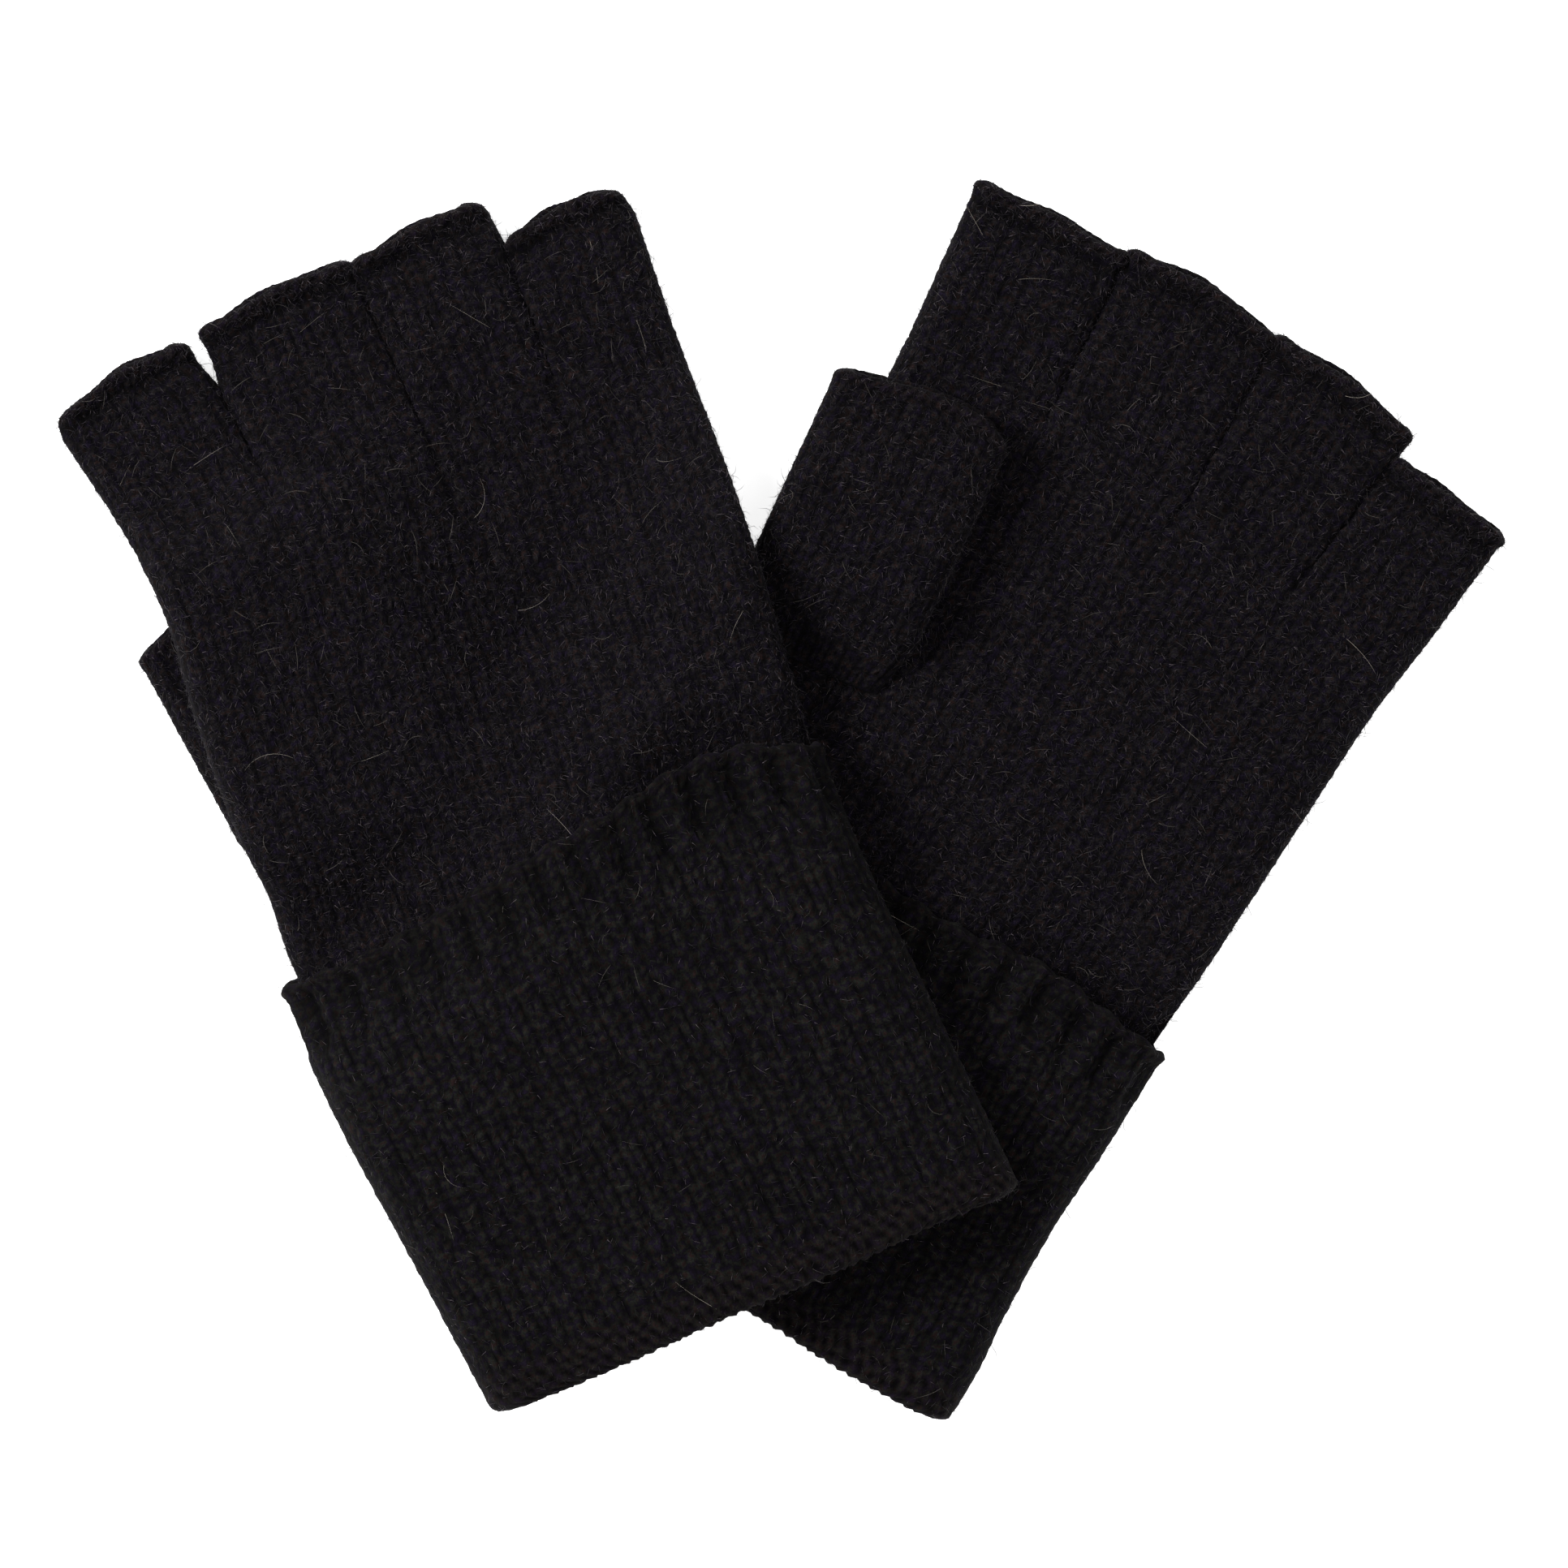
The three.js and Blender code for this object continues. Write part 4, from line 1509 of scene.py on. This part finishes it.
        # The groove behind the welt is cut into the wall and also darkened with painted shade.
        groove = self.welt_groove(tip - v, share) * outside
        tuck = 0.3 * (1 - smooth((v - KNUCKLE_V + 1.0) / 1.2))
        d = grid.inset - self.welt(tip - v) * outside + self.groove_depth * groove + tuck
        top = LAYERS.tube - self.finger_thinning * smooth((v - KNUCKLE_V - 8) / 16)
        u, z = flat_ring(share, edges[0] + d, edges[1] - d, d, top - d)
        for edge, width in zip(edges, widths):
            u = edge + (u - edge) * lerp(width, 1.0, smooth(np.abs(u - edge) / top))
        x = np.clip((u - (edges[0] + edges[1]) / 2) / ((edges[1] - edges[0]) / 2), -1, 1)
        first, middle, last = (value - tip for value in cut.tip_line)
        line = middle + x * (last - first) / 2 + x * x * ((first + last) / 2 - middle)
        recess = self.recess(z - top / 2, x)
        waver = self.tip_waver * np.cos(TAU * grid.wale / 5 + number) * smooth((v - tip + 5) / 5)
        at_tip = smooth((v - tip + self.tip_reach) / self.tip_reach)
        along = v + line * smooth(t * 1.1 - 0.1) + (waver - recess) * at_tip
        purl = smooth((v - tip + self.welt_length) / 1.0) * outside
        fuzz = outside * self.brushed(share, z) * smooth((v - KNUCKLE_V) / 0.6)
        return self.wall(
            grid,
            (u, along, z),
            self.lie.hand_lift(u, along),
            fuzz=fuzz * (1 + self.edge_fluff * purl),
            purl=purl,
            sunk=groove,
        )

    # -- thumb
    def thumb_wall(self) -> Wall:
        """The thumb, which rises out of the palm and lies folded on it.

        Returns:
            The wall.
        """
        form = self.form
        half, start, tip = THUMB_WIDTH / 2, self.thumb_start, THUMB_LENGTH
        profile = tube_profile(start, tip, HAND_GAUGE)
        grid = wall_grid(profile, 2 * THUMB_WIDTH + (math.pi - 2) * LAYERS.tube, HAND_GAUGE)
        y, outside = grid.along, grid.outside
        rise = smooth((y - start) / (2.0 - start))
        d = grid.inset - 0.5 * self.welt(tip - y) * outside
        near, upward = (LAYERS.thumb_step, 1.0) if form.palm_up else (0.0, -1.0)
        high = near + LAYERS.tube / 2
        centre = lerp(high - upward * self.thumb_sink, high, rise)
        tall = lerp(LAYERS.tube - self.thumb_root_thinning, LAYERS.tube, rise) / 2
        tall = tall - self.thumb_tip_thinning * smooth((y - tip + 14) / 14)
        reach, cut_off = self.thumb_corner
        corner = np.clip((y - tip + reach) / reach, 0, 1)
        narrow = self.thumb_root_inset * (1 - smooth((y - start) / 10))
        side = half - d - (narrow + cut_off * (1 - np.sqrt(1 - corner**2)))
        x, z = flat_ring(grid.share, -side, side, centre - tall + d, centre + tall - d)
        recess = self.recess(z - centre, x / half)
        along = y + through(form.thumb_tip, x) * smooth(y / tip)
        along = along - recess * smooth((y - tip + self.tip_reach) / self.tip_reach)
        u, v = form.thumb_place(x, along)
        return self.wall(
            grid,
            (u, v, z),
            self.lie.bed(u, v),
            fuzz=outside * self.brushed(grid.share, z) * smooth((y + 9) / 3),
            purl=smooth((y - tip + self.welt_length) / 1.0) * outside,
        )

    # -- putting them on their bodies
    def build(self) -> list[bpy.types.Object]:
        """Makes every piece of the glove, and puts the hand, the wrist and the cuff or its lower half on the
        glove's body.

        Returns:
            The pieces.
        """
        form, shop, prefix = self.form, self.shop, self.form.prefix
        body = f"{prefix}_glove"
        made = self.finished("hand", self.hand_wall(), ["hand"], shop.hand)
        made += self.finished("wrist", self.wrist_wall(), ["wrist_tube"], replace(shop.cuff, fullness=0.0))
        for piece in made:
            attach(piece, body)
        made += self.cuff()
        for finger in Finger:
            nodes = [f"{finger.value}_sleeve", f"{finger.value}_welt"]
            u = sum(form.finger_root(finger)) / 2
            start, end = form.point(u, KNUCKLE_V - 0.8, 0), form.point(u, KNUCKLE_V + 9, 0)
            for piece in self.finished(finger.value, self.finger_wall(finger), nodes, shop.hand):
                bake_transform(piece)
                made.append(piece)
        start, end = (form.point(*form.thumb_place(0, y), 0) for y in (-2.0, 8.0))
        nodes = ["thumb_root", "thumb_sleeve", "thumb_welt"]
        for piece in self.finished("thumb", self.thumb_wall(), nodes, shop.hand):
            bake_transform(piece)
            made.append(piece)
        return made

    def cuff(self) -> list[bpy.types.Object]:
        """Makes the turned-up cuff. The right glove's is made as an upper and a lower half.

        Returns:
            The pieces.
        """
        prefix, knit = self.form.prefix, self.shop.cuff
        body = f"{prefix}_glove"
        under, top = ["cuff_fold", "cuff_under", "rib_under"], ["cuff_top", "rib_top"]
        if self.form.palm_up:
            made = self.finished("cuff", self.cuff_wall(Half.WHOLE), under + top, knit)
        else:
            made = self.finished("cuff_under", self.cuff_wall(Half.LOWER), under, knit)
        for piece in made:
            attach(piece, body)
        if self.form.palm_up:
            return made
        start, end = self.form.point(0, 1.0, 0), self.form.point(0, 8.0, 0)
        for piece in self.finished("cuff_top", self.cuff_wall(Half.UPPER), top, knit):
            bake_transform(piece)
            made.append(piece)
        return made


# ---------------------------------------------------------------- floor, light and camera
@dataclass(frozen=True)
class Studio:
    """A pale floor under soft light, seen from straight above. Sizes are in metres."""

    middle: tuple[float, float] = (1.16 * MM, 2.38 * MM)
    view_width: float = 235.6 * MM
    view_height: float = 12 * MM
    distance: float = 1.2
    floor_size: float = 6.0
    floor_colour: str = "#f7f7f7"
    floor_glow: float = 0.88
    floor_level: float = -0.05 * MM
    sky: float = 0.42

    def floor(self) -> None:
        """Lays the floor just under the gloves, lit from below as well."""
        half, level = self.floor_size / 2, self.floor_level
        mesh = bpy.data.meshes.new("floor")
        corners = [(-half, -half, level), (half, -half, level), (half, half, level), (-half, half, level)]
        mesh.from_pydata(corners, [], [(0, 1, 2, 3)])
        paper = bpy.data.materials.new("matt white paper")  # even and without gloss
        paper.use_nodes = True
        surface = paper.node_tree.nodes["Principled BSDF"]
        surface.inputs["Base Color"].default_value = linear(self.floor_colour)
        surface.inputs["Roughness"].default_value = 1.0
        surface.inputs["Specular IOR Level"].default_value = 0.0
        surface.inputs["Emission Color"].default_value = linear(self.floor_colour)
        surface.inputs["Emission Strength"].default_value = self.floor_glow
        mesh.materials.append(paper)
        floor = bpy.data.objects.new("floor", mesh)
        bpy.context.scene.collection.objects.link(floor)

    def lamp(self, name: str, place: tuple[float, float, float], size: float, power: float) -> None:
        """Hangs a soft lamp that looks at the gloves.

        Args:
            name: Its name.
            place: Where it hangs.
            size: Width of its square face.
            power: Its power in watts.
        """
        light = bpy.data.lights.new(name, "AREA")
        light.shape = "SQUARE"
        light.size = size
        light.energy = power
        lamp = bpy.data.objects.new(name, light)
        lamp.location = place
        lamp.rotation_euler = (-Vector(place)).to_track_quat("-Z", "Y").to_euler()
        bpy.context.scene.collection.objects.link(lamp)

    def light(self) -> None:
        """Sets a broad key from the upper left, a softer fill and an even sky."""
        self.lamp("key", (-1.25, 0.6, 1.2), 0.8, 37)
        self.lamp("fill", (0.9, -0.5, 1.7), 1.6, 11)
        world = bpy.data.worlds.new("sky")
        world.use_nodes = True
        background = world.node_tree.nodes["Background"]
        background.inputs["Color"].default_value = (1, 1, 1, 1)
        background.inputs["Strength"].default_value = self.sky
        bpy.context.scene.world = world
        bpy.context.scene.view_settings.view_transform = "Standard"

    def camera(self) -> None:
        """Sets the camera straight above the gloves."""
        data = bpy.data.cameras.new("camera")
        data.lens = data.sensor_width * self.distance / self.view_width
        camera = bpy.data.objects.new("camera", data)
        camera.location = (*self.middle, self.view_height + self.distance)
        bpy.context.scene.collection.objects.link(camera)
        bpy.context.scene.camera = camera


def main() -> None:
    """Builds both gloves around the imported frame, the right one over the left."""
    logging.basicConfig(level=logging.INFO, format="%(name)s: %(message)s")
    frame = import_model()
    studio = Studio()
    studio.camera()
    studio.floor()
    studio.light()
    dyes = {
        name: FibreDye(finish, colour).material()
        for name, finish, colour in (
            ("short down", "grey angora down", "#29242b"),
            ("pale fleck", "pale angora down", "#62595f"),
            ("black down", "black angora down", "#100e12"),
            ("long down", "long angora down", "#5b5650"),
            ("guard hair", "ivory guard hair", "#a1998e"),
        )
    }
    angora = BrushedYarn("brushed angora knit")
    wool = BrushedYarn("ribbed wool knit", grey="#131512", warmth=0.03, lit=(0.7, 1.5), shade=(0.16, 1.62))
    shop = Workshop(
        stitches=StitchTree(),
        fibres=FibreTree(FIBRES, dyes),
        hand=Knit("hand_knit", angora.material(), 1.0),
        cuff=Knit("cuff_knit", wool.material(), 0.22),
    )
    left, right = LEFT_FORM.laid(frame["joints"]), RIGHT_FORM.laid(frame["joints"])
    for form in (left, right):
        pieces = Glove(form, Lie(form, left), shop).build()
        LOG.info("%s glove: %d pieces", form.prefix, len(pieces))
    shop.fibres.clear()


if __name__ == "__main__":
    main()
